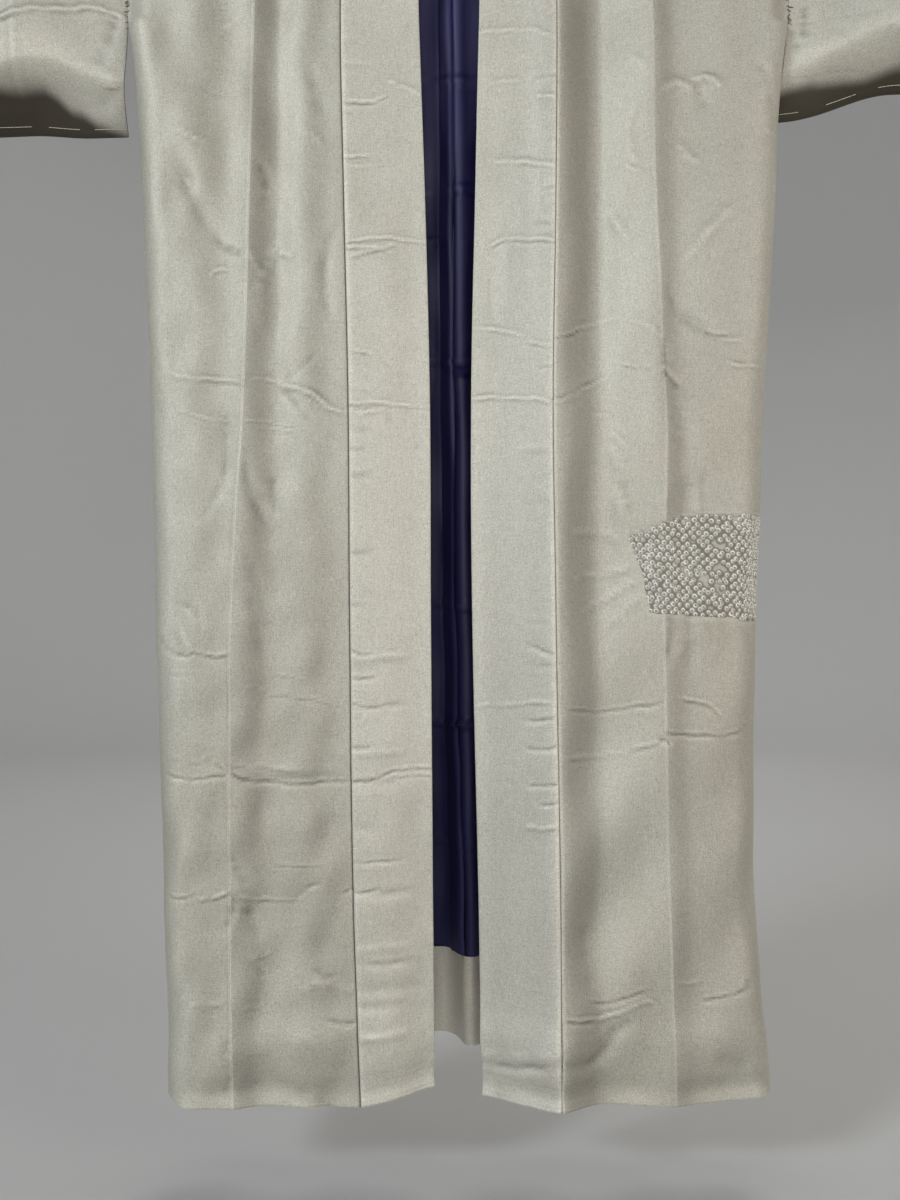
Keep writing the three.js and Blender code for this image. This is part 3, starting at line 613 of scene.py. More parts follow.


def hollowness(grid, relief):
    """Painted shading from how sharply the cloth bends at each point of a grid: 1, painted shade, in a pressed
    trough, and -0.7, painted light, on a crest.
    """
    out = np.zeros(relief.shape)
    for axis in (0, 1):
        along_axis = lambda values: np.moveaxis(values, axis, 0)
        step = np.maximum(np.linalg.norm(np.diff(grid, axis=axis), axis=-1), 0.4)
        slope = along_axis(np.diff(relief, axis=axis) / step)
        step = along_axis(step)
        along_axis(out)[1:-1] += np.nan_to_num(np.diff(slope, axis=0) / ((step[:-1] + step[1:]) / 2))
    return np.clip(out * PAINTED_SHADING_GAIN, -0.7, 1)


def both_faces(**values):
    """Point attributes of a shell, which has the points of its two faces one after the other."""
    return {key: np.tile(value.ravel(), 2) for key, value in values.items()}


ROW_ENDS = [(slice(0, 1), slice(None), 2), (slice(-1, None), slice(None), 2)]  # edges that stay level


def grid_normals(grid, ring=False):
    """Unit normals of a grid of points, rows by columns. A missing point is nan."""
    known = ~np.isnan(grid[..., 0])
    filled = np.where(known[..., None], grid, 0)

    def difference(axis):
        if ring and axis == 1:
            return np.roll(filled, -1, 1) - np.roll(filled, 1, 1)
        out = np.zeros_like(filled)
        for shift in (-1, 1):
            near = np.roll(filled, -shift, axis)
            ok = known & np.roll(known, -shift, axis)
            edge = [slice(None)] * 2
            edge[axis] = -1 if shift == 1 else 0
            ok[tuple(edge)] = False
            out += np.where(ok[..., None], (near - filled) * shift, 0)
        return out

    normal = np.cross(difference(0), difference(1))
    size = np.linalg.norm(normal, axis=-1, keepdims=True)
    return normal / np.maximum(size, 1e-9)


def shell(grid, thickness, ring=False, seams=()):
    """Vertices and quads of a closed sheet round a grid of its middle points.

    thickness is a number or one for each point, and ring joins the last column to the first. seams lists
    (rows, columns, axis): the edge there lies in a plane, so it isn't thickened along that axis.
    Returns the vertices, the quads and each quad's part: 0 outside, 1 inside, 2 edge.
    """
    rows, cols = grid.shape[:2]
    normal = grid_normals(grid, ring)
    for row, col, axis in seams:
        normal[row, col, axis] = 0
    normal /= np.maximum(np.linalg.norm(normal, axis=-1, keepdims=True), 1e-9)
    half = np.broadcast_to(np.asarray(thickness, float), (rows, cols))[..., None] / 2
    known = ~np.isnan(grid[..., 0])
    ids = np.arange(rows * cols).reshape(rows, cols)
    nxt = np.roll(ids, -1, 1)
    cell = known[:-1] & known[1:]
    cell = cell & np.roll(cell, -1, 1)
    if not ring:
        cell[:, -1] = False
    a, b, c, d = ids[:-1][cell], ids[1:][cell], nxt[1:][cell], nxt[:-1][cell]
    count = rows * cols
    outside = np.stack([a, b, c, d], 1)
    inside = np.stack([a, d, c, b], 1) + count
    padded = np.zeros((rows + 1, cols + 2), bool)
    padded[1:rows, 1 : cols + 1] = cell
    if ring:
        padded[:, 0], padded[:, -1] = padded[:, cols], padded[:, 1]
    here = padded[1:rows, 1 : cols + 1]

    def rim(missing, first, second):
        pick = here & ~missing
        i, j = first[pick], second[pick]
        return np.stack([i, j, j + count, i + count], 1)

    walls = [
        rim(padded[0 : rows - 1, 1 : cols + 1], ids[:-1], nxt[:-1]),
        rim(padded[2 : rows + 1, 1 : cols + 1], nxt[1:], ids[1:]),
        rim(padded[1:rows, 0:cols], ids[1:], ids[:-1]),
        rim(padded[1:rows, 2 : cols + 2], nxt[:-1], nxt[1:]),
    ]
    quads = np.concatenate([outside, inside, *walls])
    edges = len(quads) - 2 * len(outside)
    part = np.concatenate([np.zeros(len(outside)), np.ones(len(inside)), np.full(edges, 2)])
    verts = np.concatenate([(grid + normal * half).reshape(-1, 3), (grid - normal * half).reshape(-1, 3)])
    return verts, quads, part.astype(int)


def make_piece(name, parts, materials, smooth_angle=50, looks=None, replaces=None):
    """One object from parts: vertices in mm, quads, material index of each quad. looks are its attributes."""
    starts = np.cumsum([0] + [len(part[0]) for part in parts])
    verts = np.concatenate([part[0] for part in parts])
    quads = np.concatenate([part[1] + start for part, start in zip(parts, starts)])
    index = np.concatenate([np.broadcast_to(part[2], len(part[1])) for part in parts])
    a, b, c, d = (verts[quads[:, k]] for k in range(4))
    volume = sum(np.einsum("ij,ij->i", a, np.cross(p, q)).sum() for p, q in ((b, c), (c, d)))
    if volume < 0:
        quads = quads[:, ::-1]
    used, renumbered = np.unique(quads, return_inverse=True)
    mesh = bpy.data.meshes.new(name)
    mesh.from_pydata((verts[used] / 1000).tolist(), [], renumbered.reshape(quads.shape).tolist())
    for key, values in (looks or {}).items():
        layer = mesh.attributes.new(key, "FLOAT", "POINT")
        layer.data.foreach_set("value", np.asarray(values, np.float32)[used])
    for material in materials:
        mesh.materials.append(material)
    mesh.polygons.foreach_set("material_index", index.astype(np.int32))
    mesh.polygons.foreach_set("use_smooth", np.ones(len(quads), bool))
    mesh.update()
    mesh.set_sharp_from_angle(angle=math.radians(smooth_angle))
    piece = bpy.data.objects.new(name, mesh)
    bpy.context.scene.collection.objects.link(piece)
    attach(piece, "root")
    if replaces:
        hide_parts(replaces)
    return piece


# ---------------------------------------------------------------- materials
class Paint:
    """A new material and the nodes that feed its shader."""

    def __init__(self, name):
        self.material = bpy.data.materials.new(name)
        self.material.use_nodes = True
        self.tree = self.material.node_tree

    def feed(self, socket, value):
        """Link an output to a socket, or set a number or a colour on the socket itself."""
        if isinstance(value, bpy.types.NodeSocket):
            self.tree.links.new(value, socket)
        elif value is not None:
            socket.default_value = (*value, 1) if socket.type == "RGBA" else value

    def node(self, kind, inputs, output=0, **settings):
        node = self.tree.nodes.new("ShaderNode" + kind)
        for key, value in settings.items():
            setattr(node, key, value)
        for key, value in inputs.items():
            self.feed(node.inputs[key], value)
        return node.outputs[output]

    def noise(self, stretch, scale, detail, roughness):
        """Noise over the object's own coordinates in metres, multiplied by stretch."""
        place = self.node("TexCoord", {}, "Object")
        place = self.node("VectorMath", {0: place, 1: stretch}, operation="MULTIPLY")
        look = {"Vector": place, "Scale": scale, "Detail": detail, "Roughness": roughness}
        return self.node("TexNoise", look, "Fac")

    def math(self, operation, a, b=None, c=None):
        return self.node("Math", {0: a, 1: b, 2: c}, operation=operation)

    def mix(self, factor, a, b, blend="MIX"):
        return self.node("Mix", {"Factor": factor, 6: a, 7: b}, 2, data_type="RGBA", blend_type=blend)

    def attribute(self, name):
        return self.node("Attribute", {}, "Fac", attribute_name=name)

    def bumps(self, *bumps):
        """The normal after bumps of (height, distance in metres, strength), one on the other."""
        normal = None
        for height, distance, strength in bumps:
            look = {"Height": height, "Distance": distance, "Strength": strength, "Normal": normal}
            normal = self.node("Bump", look, "Normal")
        return normal

    def done(self, sockets):
        for key, value in sockets.items():
            self.feed(self.tree.nodes["Principled BSDF"].inputs[key], value)
        return self.material


FOOT_PAINTED_SHADE, KNOT_EYE_AND_SHADE, KNOT_RING = (0.034, 0.026, 0.013), (0.12, 0.107, 0.082), (0.98, 0.97, 0.92)


def silk_material(name, colour, shade, sheen, roughness, weave=1.0, satin=0.18, painted_shading_strength=0.38, rings=False):
    """Plain-woven silk: fine upright warp, a slub now and then, soft uneven colour and a satin sheen."""
    paint = Paint(name)
    broad = paint.noise((3.0, 3.0, 2.2), 1.6, 3.0, 0.55)
    threads = paint.noise((1500, 1500, 90), 1.0, 2.0, 0.6)
    slubs = paint.noise((90, 90, 1400), 1.0, 2.0, 0.6)
    grain = paint.noise((1, 1, 1), 900, 1.0, 0.5)
    crumple = paint.noise((34, 34, 70), 1.0, 4.0, 0.55)
    wandering = paint.noise((7, 7, 24), 1.0, 3.0, 0.6)
    mottled = paint.math("MINIMUM", paint.math("MULTIPLY_ADD", broad, 1.9, -0.45), 1.0)
    speckle = paint.math("MULTIPLY_ADD", grain, 2.0, paint.math("MULTIPLY_ADD", slubs, 0.5, threads))
    tint = paint.math("MULTIPLY_ADD", speckle, 0.36 * weave, 1 - 0.63 * weave)
    # painted shading from the hollow attribute: darker in creases and along seams, lighter on crests
    painted_shading_factor = paint.math("MULTIPLY_ADD", paint.attribute("hollow"), -painted_shading_strength, 1.0)
    cloth = paint.mix(1.0, paint.mix(mottled, shade, colour), paint.math("MULTIPLY", tint, painted_shading_factor), "MULTIPLY")
    if rings:
        # the dark eye of each tie, and painted shade in the crevices between the ties
        cloth = paint.mix(paint.attribute("eye"), cloth, KNOT_EYE_AND_SHADE)
        cloth = paint.mix(paint.attribute("ring"), cloth, KNOT_RING)
    # painted shade on each sleeve's foot, where the cloth rolls under away from the light
    cloth = paint.mix(paint.math("MULTIPLY", paint.attribute("shaded"), 0.96), cloth, FOOT_PAINTED_SHADE)
    rough = paint.math("MULTIPLY_ADD", broad, 0.14, roughness - 0.07)
    lines = paint.math("ABSOLUTE", paint.math("MULTIPLY_ADD", wandering, 2.0, -1.0))
    lines = paint.math("POWER", paint.math("SUBTRACT", 1.0, lines), 14.0)
    return paint.done({
        "Base Color": cloth,
        "Roughness": paint.math("MULTIPLY_ADD", grain, 0.08, rough),
        "Metallic": satin,
        "Specular IOR Level": 0.5,
        "Sheen Weight": sheen,
        "Sheen Roughness": 0.35,
        "Sheen Tint": colour,
        "Anisotropic": 0.35,
        "Normal": paint.bumps((threads, 0.0002, 0.22 * weave), (slubs, 0.0002, 0.16 * weave),
                              (crumple, 0.0016, 0.2), (lines, 0.0007, 0.12)),
    })


def wood_material():
    paint = Paint("waxed_wood")
    grain = paint.noise((4, 160, 160), 1.0, 5.0, 0.6)
    rings = paint.noise((0.8, 40, 40), 1.0, 2.0, 0.5)
    figure = paint.math("ADD", paint.math("MULTIPLY", grain, 0.6), rings)
    figure = paint.math("MULTIPLY_ADD", figure, 1.3, -0.55)
    return paint.done({
        "Base Color": paint.mix(figure, (0.20, 0.105, 0.045), (0.42, 0.26, 0.13)),
        "Roughness": paint.math("MULTIPLY_ADD", grain, 0.2, 0.4),
        "Normal": paint.bumps((grain, 0.0004, 0.25)),
    })


def steel_material():
    paint = Paint("satin_steel_wire")
    marks = paint.noise((700, 700, 700), 1.0, 3.0, 0.6)
    return paint.done({
        "Base Color": paint.mix(marks, (0.52, 0.53, 0.54), (0.68, 0.69, 0.70)),
        "Roughness": paint.math("MULTIPLY_ADD", marks, 0.2, 0.2),
        "Metallic": 1.0,
        "Normal": paint.bumps((marks, 0.0001, 0.2)),
    })


SILK_COLOUR, SILK_SHADE = (0.415, 0.402, 0.352), (0.345, 0.322, 0.268)
silk = silk_material("greige_silk", SILK_COLOUR, SILK_SHADE, 0.25, 0.5, weave=1.4)
tied_silk = silk_material("tied_greige_silk", SILK_COLOUR, SILK_SHADE, 0.15, 0.55, satin=0.05, rings=True)
band_silk = silk_material("band_silk", (0.50, 0.485, 0.43), (0.445, 0.425, 0.37), 0.25, 0.5, weave=1.4)
# painted light: a lighter copy of the greige silk for the hem facing, which hangs inside in the band's shade
facing_silk_painted_light = silk_material("facing_silk_painted_light", (0.72, 0.69, 0.61), (0.62, 0.58, 0.50), 0.25, 0.5)
NAVY, NAVY_SHADE = (0.018, 0.0165, 0.083), (0.012, 0.010, 0.058)
navy = silk_material("navy_lining_silk", NAVY, NAVY_SHADE, 0.1, 0.5, weave=0.5, satin=0.1, painted_shading_strength=0.6)
thread_dark = silk_material("dark_thread", (0.10, 0.08, 0.06), (0.07, 0.055, 0.04), 0.0, 0.7, satin=0.0)
thread_pale = silk_material("pale_thread", (0.62, 0.59, 0.50), (0.54, 0.51, 0.42), 0.0, 0.6, satin=0.0)


# ---------------------------------------------------------------- body
PANEL_TO_RIDGE, PANEL_TO_SIDE, SIDE_STEPS = 26, 22, 9
HIDDEN_STEP, FRONT_STEP, FINE_STEP, BACK_STEP, BACK_FINE = 7.0, 4.2, 2.3, 12.0, 4.0  # from row to row
SHARP_CREASE = 1.4  # a crease at least this high in all has fine rows
EDGE = (0.0, 0.8, 1.8, 3.2, 5.0)  # columns close to a seam
NEAR_RIDGE = (9.0, 6.6, 4.7, 3.5, 2.5, 1.6, 0.8)  # columns close to the pressed crease


def panel_columns(side, face, h):
    """x and turn of the fine columns at each height: arrays of rows by columns."""
    h = np.asarray(h, float)[:, None]
    start = np.abs(front_line(side, "seam", h if face < 0 else np.minimum(h, SEAM_STRAIGHT)))
    ridge = np.abs(front_line(side, "ridge", h)) if face < 0 else mix(214, 224, h / FRONT_LENGTH)
    flat_end = side_x(side, h) - SIDE_ROUND
    to_ridge = np.linspace(0, 1, PANEL_TO_RIDGE)[None, 1:-1]
    to_side = np.linspace(0, 1, PANEL_TO_SIDE)[None, 1:]
    first = [start + edge for edge in EDGE]
    middle = [mix(start + EDGE[-1], ridge - NEAR_RIDGE[0], to_ridge)]
    middle += [ridge - away for away in NEAR_RIDGE] + [ridge] + [ridge + away for away in NEAR_RIDGE[::-1]]
    outer = [mix(ridge + NEAR_RIDGE[0], flat_end, to_side)]
    turn = np.linspace(0, 90, SIDE_STEPS)[None, 1:]
    closed_x = flat_end + SIDE_ROUND * np.sin(np.radians(turn))
    open_x = flat_end + (SIDE_ROUND + SILK / 2) * turn / 90
    turned = [np.where(h < ARMHOLE, open_x, closed_x)]
    x = np.concatenate(first + middle + outer + turned, axis=1)
    flat = x.shape[1] - turn.shape[1]
    turns = np.concatenate([np.zeros((len(h), flat)), np.broadcast_to(turn, (len(h), turn.shape[1]))], axis=1)
    return side * x, turns


NECK_FINE = 22  # columns between the centre back seam and the line of the band's seam


def graded_rows(start, stop, creases, low_x, high_x, plain, close):
    """Heights from start to stop, plain mm apart, and close together where fine creases cross from x to x."""
    h = np.linspace(start, stop, 3000)
    fine = np.zeros_like(h)
    for x0, h0, x1, h1, x2, h2, out, step, width in rows_of(creases):
        elsewhere = max(x0, x1, x2) < low_x or min(x0, x1, x2) > high_x
        if elsewhere or width > 4 or abs(out) + abs(step) < SHARP_CREASE:
            continue
        reach = 1.6 * width
        low, high = min(h0, h1, h2) - reach, max(h0, h1, h2) + reach
        fine = np.maximum(fine, smooth(low - 4, low, h) * smooth(high + 4, high, h))
    density = mix(1 / plain, 1 / close, fine)
    count = np.concatenate([[0], np.cumsum((density[1:] + density[:-1]) / 2 * np.diff(h))])
    return np.interp(np.linspace(0, count[-1], int(count[-1]) + 1), count, h)


def body_rows(side):
    """Heights of the rows of a panel's back, of its part beside the neck and of its front."""
    across = (-400, -90) if side < 0 else (90, 400)
    back = np.concatenate([np.linspace(BACK_LENGTH, BACK_LENGTH - 6, 5)[:-1],
                           graded_rows(60, BACK_LENGTH - 6, BACK_CREASES, *across, BACK_STEP, BACK_FINE)[::-1]])
    front = np.concatenate([graded_rows(60, 340, FRONT_CREASES, *across, HIDDEN_STEP, HIDDEN_STEP)[:-1],
                            graded_rows(340, FRONT_LENGTH - 5, FRONT_CREASES, *across, FRONT_STEP, FINE_STEP),
                            np.linspace(FRONT_LENGTH - 5, FRONT_LENGTH, 6)[1:]])
    neck = np.linspace(60, FOLD_RADIUS, 10)[1:]
    return back, neck, front


def neck_columns(side, h, fine):
    h = np.asarray(h, float)[:, None]
    centre = centre_x(h) + side * SEAM / 2
    start = np.abs(front_line(side, "seam", np.minimum(h, SEAM_STRAIGHT)))
    share = np.linspace(0, 1, fine + 1)[None, :-1]
    round_neck = np.sin(share * math.pi / 2) * neck_half(side, centre)
    below = share * np.abs(side * start - centre)
    return centre + side * mix(round_neck, below, smooth(40, 250, h))


def beside_neck(neck_x, x, turn):
    """A panel's columns after those beside the neck, which are flat."""
    return np.concatenate([neck_x, x], axis=1), np.concatenate([np.zeros_like(neck_x), turn], axis=1)


def back_heights(side, x, h):
    """Heights of a back's points, lower towards the side at the hem, and how near the side they are."""
    stretch = np.maximum(0, (h - BACK_DROP_FROM) / (BACK_LENGTH - BACK_DROP_FROM))[:, None]
    across = np.minimum(1, (np.abs(x) / side_x(side, h)[:, None]) ** 3)
    return h[:, None] + stretch * (SIDE_LENGTH - BACK_LENGTH) * across, across


def body_grid(side):
    """Middle points of one body panel, with the height and face of each."""
    back_h, neck_h, front_h = body_rows(side)
    arc = np.linspace(ARC, 0, 7)[1:]
    top = along_of(NECK_LEVEL)
    rows, heights, faces = [], [], []

    def add(face, x, along, turn, height=None):
        rows.append(body_point(side, face, x, along, turn))
        heights.append(height_of(along) if height is None else height)
        faces.append(np.full(x.shape, float(face)))

    def side_shift(h, h_all):
        """How far the side line moves when the last column's heights become h_all."""
        return (side_x(side, h_all[:, -1]) - side_x(side, h))[:, None]

    # back, from its hem up to the rod's level
    h = np.concatenate([back_h, neck_h])
    x, turn = beside_neck(neck_columns(side, h, NECK_FINE), *panel_columns(side, 1, h))
    h_all, across = back_heights(side, x, h)
    x = x + side * across * side_shift(h, h_all)
    along = along_of(h_all)
    neck_x = x[:, :NECK_FINE]
    lifted = mix(neckline_along(side, neck_x), top, np.clip(along[:, -1:] / top, 0, 1))
    along[:, :NECK_FINE] = np.where(h[:, None] < NECK_LEVEL, lifted, along[:, :NECK_FINE])
    add(1, x, along, turn)
    # over the rod
    h = height_of(arc)
    x, turn = panel_columns(side, 1, h)
    neck_x = neck_columns(side, np.zeros_like(h), NECK_FINE)
    neck_along = mix(neckline_along(side, neck_x), top, arc[:, None] / top)
    along = np.concatenate([neck_along, np.broadcast_to(arc[:, None], x.shape)], axis=1)
    x, turn = beside_neck(neck_x, x, turn)
    add(1, x, along, turn)
    # front, which has no columns beside the neck
    neck_h = np.linspace(FOLD_RADIUS, NECK_LEVEL, 8)[:-1]
    h = np.concatenate([height_of(arc[::-1][1:]), neck_h, front_h])
    x, turn = panel_columns(side, -1, h)
    stretch = np.maximum(0, (h - FRONT_RISE_FROM) / (FRONT_LENGTH - FRONT_RISE_FROM))[:, None]
    h_all = h[:, None] - stretch * (FRONT_LENGTH - SIDE_LENGTH) * smooth(0, 90, turn)
    x = x + side * smooth(0, 90, turn) * side_shift(h, h_all)
    x, turn = beside_neck(np.full((len(h), NECK_FINE), np.nan), x, turn)
    h_all = np.concatenate([np.full((len(h), NECK_FINE), np.nan), h_all], axis=1)
    add(-1, x, along_of(h_all), turn, h_all)
    return np.concatenate(rows), np.concatenate(heights), np.concatenate(faces)


def outward(grid):
    """Normals of a grid, turned so that they point away from the rod's plane and out at the sides."""
    normal = grid_normals(grid)
    flip = np.sign((grid * (0.15, 1, 0) * normal).sum(-1, keepdims=True))
    return normal * np.where(flip == 0, 1, flip)


def in_patch(x, h, margin=0.0):
    """1 inside the tied patch and 0 outside, over a soft border. x counts on past the side seam."""
    left = np.interp(h, PATCH_OUTLINE["h"], PATCH_OUTLINE["left"])
    top, bottom = PATCH_OUTLINE["h"][0], PATCH_OUTLINE["h"][-1]
    edge = np.minimum(x - left, np.minimum(h - top, bottom - h))
    return smooth(-1.6 + margin, 1.6 + margin, edge)


def pressed_ridge(side, x, h):
    """The crease pressed down the middle of a front: a sharp crest that falls off steeply on its left only."""
    past = x - front_line(side, "ridge", h)
    reach = np.where(past > 0, 11.0, 2.4 if side < 0 else 5.0)
    crest = (1.5 + 0.4 * np.sin(h / 41)) * np.exp(-np.hypot(past, 0.6) / reach)
    valley_x, deep, wide = (-187, 3.0, 14) if side < 0 else (mix(146, 138, h / FRONT_LENGTH), 8.0, 38)
    from_valley = x - valley_x
    slope = np.where(from_valley < 0, -from_valley / wide, from_valley / 15)
    deep = deep * mix(1, 0.35, smooth(800, 1250, h)) * (0.85 + 0.2 * np.sin(h / 53 + 2))
    valley = deep * np.exp(-np.hypot(slope, 0.12) ** 1.3)
    return smooth(0, 300, h) * (crest - valley)


def front_relief(side, x, h):
    """Creases and unevenness of a front, panel and band together."""
    past_seam = np.abs(x) - np.abs(front_line(side, "seam", h))
    calm = mix(0.4, 1, smooth(-2, 30, past_seam)) * mix(0.8, 1.5, smooth(900, 1250, h))
    uneven = waves(x, h, 2.0, 24, 5 + side) + waves(x, h, 0.7, 11, 9 + side)
    return 1.2 * crease_field(FRONT_CREASES, x, h) + pressed_ridge(side, x, h) + calm * uneven


def back_relief(side, x, h):
    uneven = waves(x, h, 1.8, 26, 15 + side) + waves(x, h, 0.5, 11, 19 + side)
    from_seam = smooth(0, 16, np.abs(x - centre_x(h)))  # both panels meet at one depth
    relief = (1.3 * crease_field(BACK_CREASES, x, h) + uneven) * from_seam + 1.2
    return np.maximum(relief, -0.3)  # clear of the lining


def patch_mask_on_panel(side, grid, height, face):
    if side < 0:
        return 0
    x = grid[..., 0]
    edge = side_x(1, np.nan_to_num(height))
    past = np.where(face > 0, 2 * edge - x, x)
    inside = in_patch(past, height, 1.5) * (past < edge + PATCH_ROUND_BACK - 3)
    return np.nan_to_num(inside)


RIGHT_LEAN_SHADE = 1.7  # painted shade: how much darker the silk is painted where it leans to the right, away from the light, against where it leans to the left


def body_piece(side):
    name = "body_" + SIDE_NAME[side]
    grid, height, face = body_grid(side)
    normal = outward(grid)
    x, h, is_front = np.nan_to_num(grid[..., 0]), np.nan_to_num(height), face < 0
    relief = np.where(is_front, front_relief(side, x, h), back_relief(side, x, h))
    inner = off_side(side, x, h)
    relief *= smooth(30, 90, h) * mix(SIDE_RELIEF, 1, inner)  # the cloth is drawn smooth over the rod
    sewn = np.where(is_front, np.abs(x) - np.abs(front_line(side, "seam", h)), np.abs(x - centre_x(h)))
    deep = np.where(is_front, 2.3 + 0.5 * np.sin(h / 3.1) * np.sin(h / 17), 0.4)
    relief -= deep * np.exp(-np.hypot(sewn, 0.3) / 1.3) * smooth(20, 80, h)
    hem = np.where(is_front, FRONT_LENGTH, BACK_LENGTH) - h
    relief += hem_relief(x, hem) * is_front * inner
    relief -= 1.3 * patch_mask_on_panel(side, grid, height, face)
    hollow = hollowness(grid, relief)
    grid = grid + normal * relief[..., None]
    tilted = grid_normals(grid)
    tilted *= np.sign((tilted * normal).sum(-1, keepdims=True))
    past_ridge = np.abs(x) - np.abs(front_line(side, "ridge", h))
    # painted shade on slopes of the front that face right, away from the light, and painted light on those that
    # face left
    lean_shade = RIGHT_LEAN_SHADE * inner * (mix(1, 0.35, smooth(5, 40, past_ridge)) if side > 0 else 1)
    hollow += lean_shade * np.nan_to_num(np.clip(tilted[..., 0], -0.35, 0.5)) * is_front * smooth(0, 200, h)
    # painted shade along the band's seam, in the groove where the panel tucks under it
    hollow += 1.4 * np.exp(-((sewn / 1.1) ** 2)) * is_front
    last, is_open = grid.shape[1] - 1, height[:, -1] < ARMHOLE
    seams = [(slice(None), 0, 0), *ROW_ENDS,
             (np.nonzero(is_open)[0], last, 0), (np.nonzero(~is_open)[0], last, 1)]
    verts, quads, part = shell(grid, rounded(SHELL, hem), seams=seams)
    # the grid's first side is the outside of the left panel and the inside of the right one
    lined = np.where(part == (1 if side > 0 else 0), 1, 0)
    looks = both_faces(hollow=hollow)
    piece = make_piece(name + "_cloth", [(verts, quads, lined)], [silk, navy], looks=looks, replaces=name)
    return piece, grid


def hem_relief(x, hem):
    """The turned-up hem: full where the turning ends, drawn in below, with a lip that flares at the fold."""
    uneven = 1 + 0.3 * np.sin(x / 37) + 0.2 * np.sin(x / 13 + 1)
    full = 3.2 * np.exp(-(((hem - 62) / 24) ** 2)) - 3.2 * np.exp(-(((hem - 17) / 12) ** 2))
    return (full + 0.9 * smooth(12, 0, hem)) * uneven + 0.3 * smooth(24, 20, hem) * smooth(4, 8, hem)


# ---------------------------------------------------------------- collar band
BAND_SHARES = np.concatenate([[0, 1.0, 2.4], np.linspace(5, 76.5, 19), [78, 79, 79.6, 80]]) / BAND_WIDTH


def band_front(side, h):
    """Middle points of the band on a front at heights h: rows by columns from seam to free edge."""
    h = np.asarray(h, float)[:, None]
    along = along_of(h)
    rise = np.radians(BAND_RISE_SHOULDER) * smooth(BAND_RISE_FROM, 0, h)
    lift = (BAND - SILK) / 2 + BAND_LIFT * smooth(ARMHOLE, 100, h)
    turn = np.minimum(ARC, along) / FOLD_RADIUS
    start = front_line(side, "seam", h) - side * (SEAM + BAND / 2 * np.sin(rise))
    width = mix(np.abs(front_line(side, "edge", h) - start), BAND_WIDTH, smooth(420, 200, h))
    reach = width * BAND_SHARES[None, :]
    x = start - side * reach * np.cos(rise)
    grid = body_point(side, -1, x, np.broadcast_to(along, x.shape))
    out = lift + reach * np.sin(rise)
    grid[..., 1] += -np.sin(turn) * out
    grid[..., 2] += np.cos(turn) * out
    grid[..., 2] += BAND_SHARES[None, :] * BAND_HEM_RISE[side] * smooth(FRONT_LENGTH - 60, FRONT_LENGTH, h)
    return grid, np.broadcast_to(h, x.shape)


def band_neck(side, degrees):
    """Middle points of the band behind the neck, at degrees round it from the shoulder."""
    share = np.asarray(degrees, float)[:, None]
    turn = np.radians(share)
    centre = centre_x(0)
    x = centre + side * neck_half(side, centre) * np.cos(turn)
    start = body_point(side, 1, x, neckline_along(side, x))
    rise = np.radians(mix(BAND_RISE_SHOULDER, BAND_RISE_BACK, smooth(0, 90, share)))
    inward = points(-side * np.cos(turn), -np.sin(turn), 0 * turn)
    start = start + inward * ((1 - share / 90) * (BAND / 2 + SEAM))[..., None]
    start[..., 2] += mix((BAND - SILK) / 2, BAND / 2, smooth(0, 40, share)) + BAND_LIFT
    reach = BAND_WIDTH * BAND_SHARES[None, :]
    grid = start + inward * (reach * np.cos(rise))[..., None]
    grid[..., 2] += reach * np.sin(rise)
    return grid, np.zeros(grid.shape[:2])


def pucker_table():
    """Short puckers across each band seam, drawn at seeded uneven places."""
    rows = []
    for side, low, high, count, reach, out in rows_of(PUCKERS):
        for h in np.sort(random.uniform(low, high, int(count))):
            length = reach * random.uniform(0.35, 1.15)
            x0 = float(front_line(int(side), "seam", h)) + side * random.uniform(-1, 3)
            x2 = x0 - side * length
            sag = random.normal(0, 0.06) * length
            middle = ((x0 + x2) / 2, h + sag * 0.4 + random.normal(0, 0.6))
            height = out * random.uniform(0.5, 1.5) * random.choice([-1, 1, 1])
            step = height * random.uniform(0.3, 1.4)
            rows.append((x0, h, *middle, x2, h + sag, -height, step, random.uniform(2.8, 4.6 + length / 12)))
    return columns("x0 h0 x1 h1 x2 h2 out step width", rows)


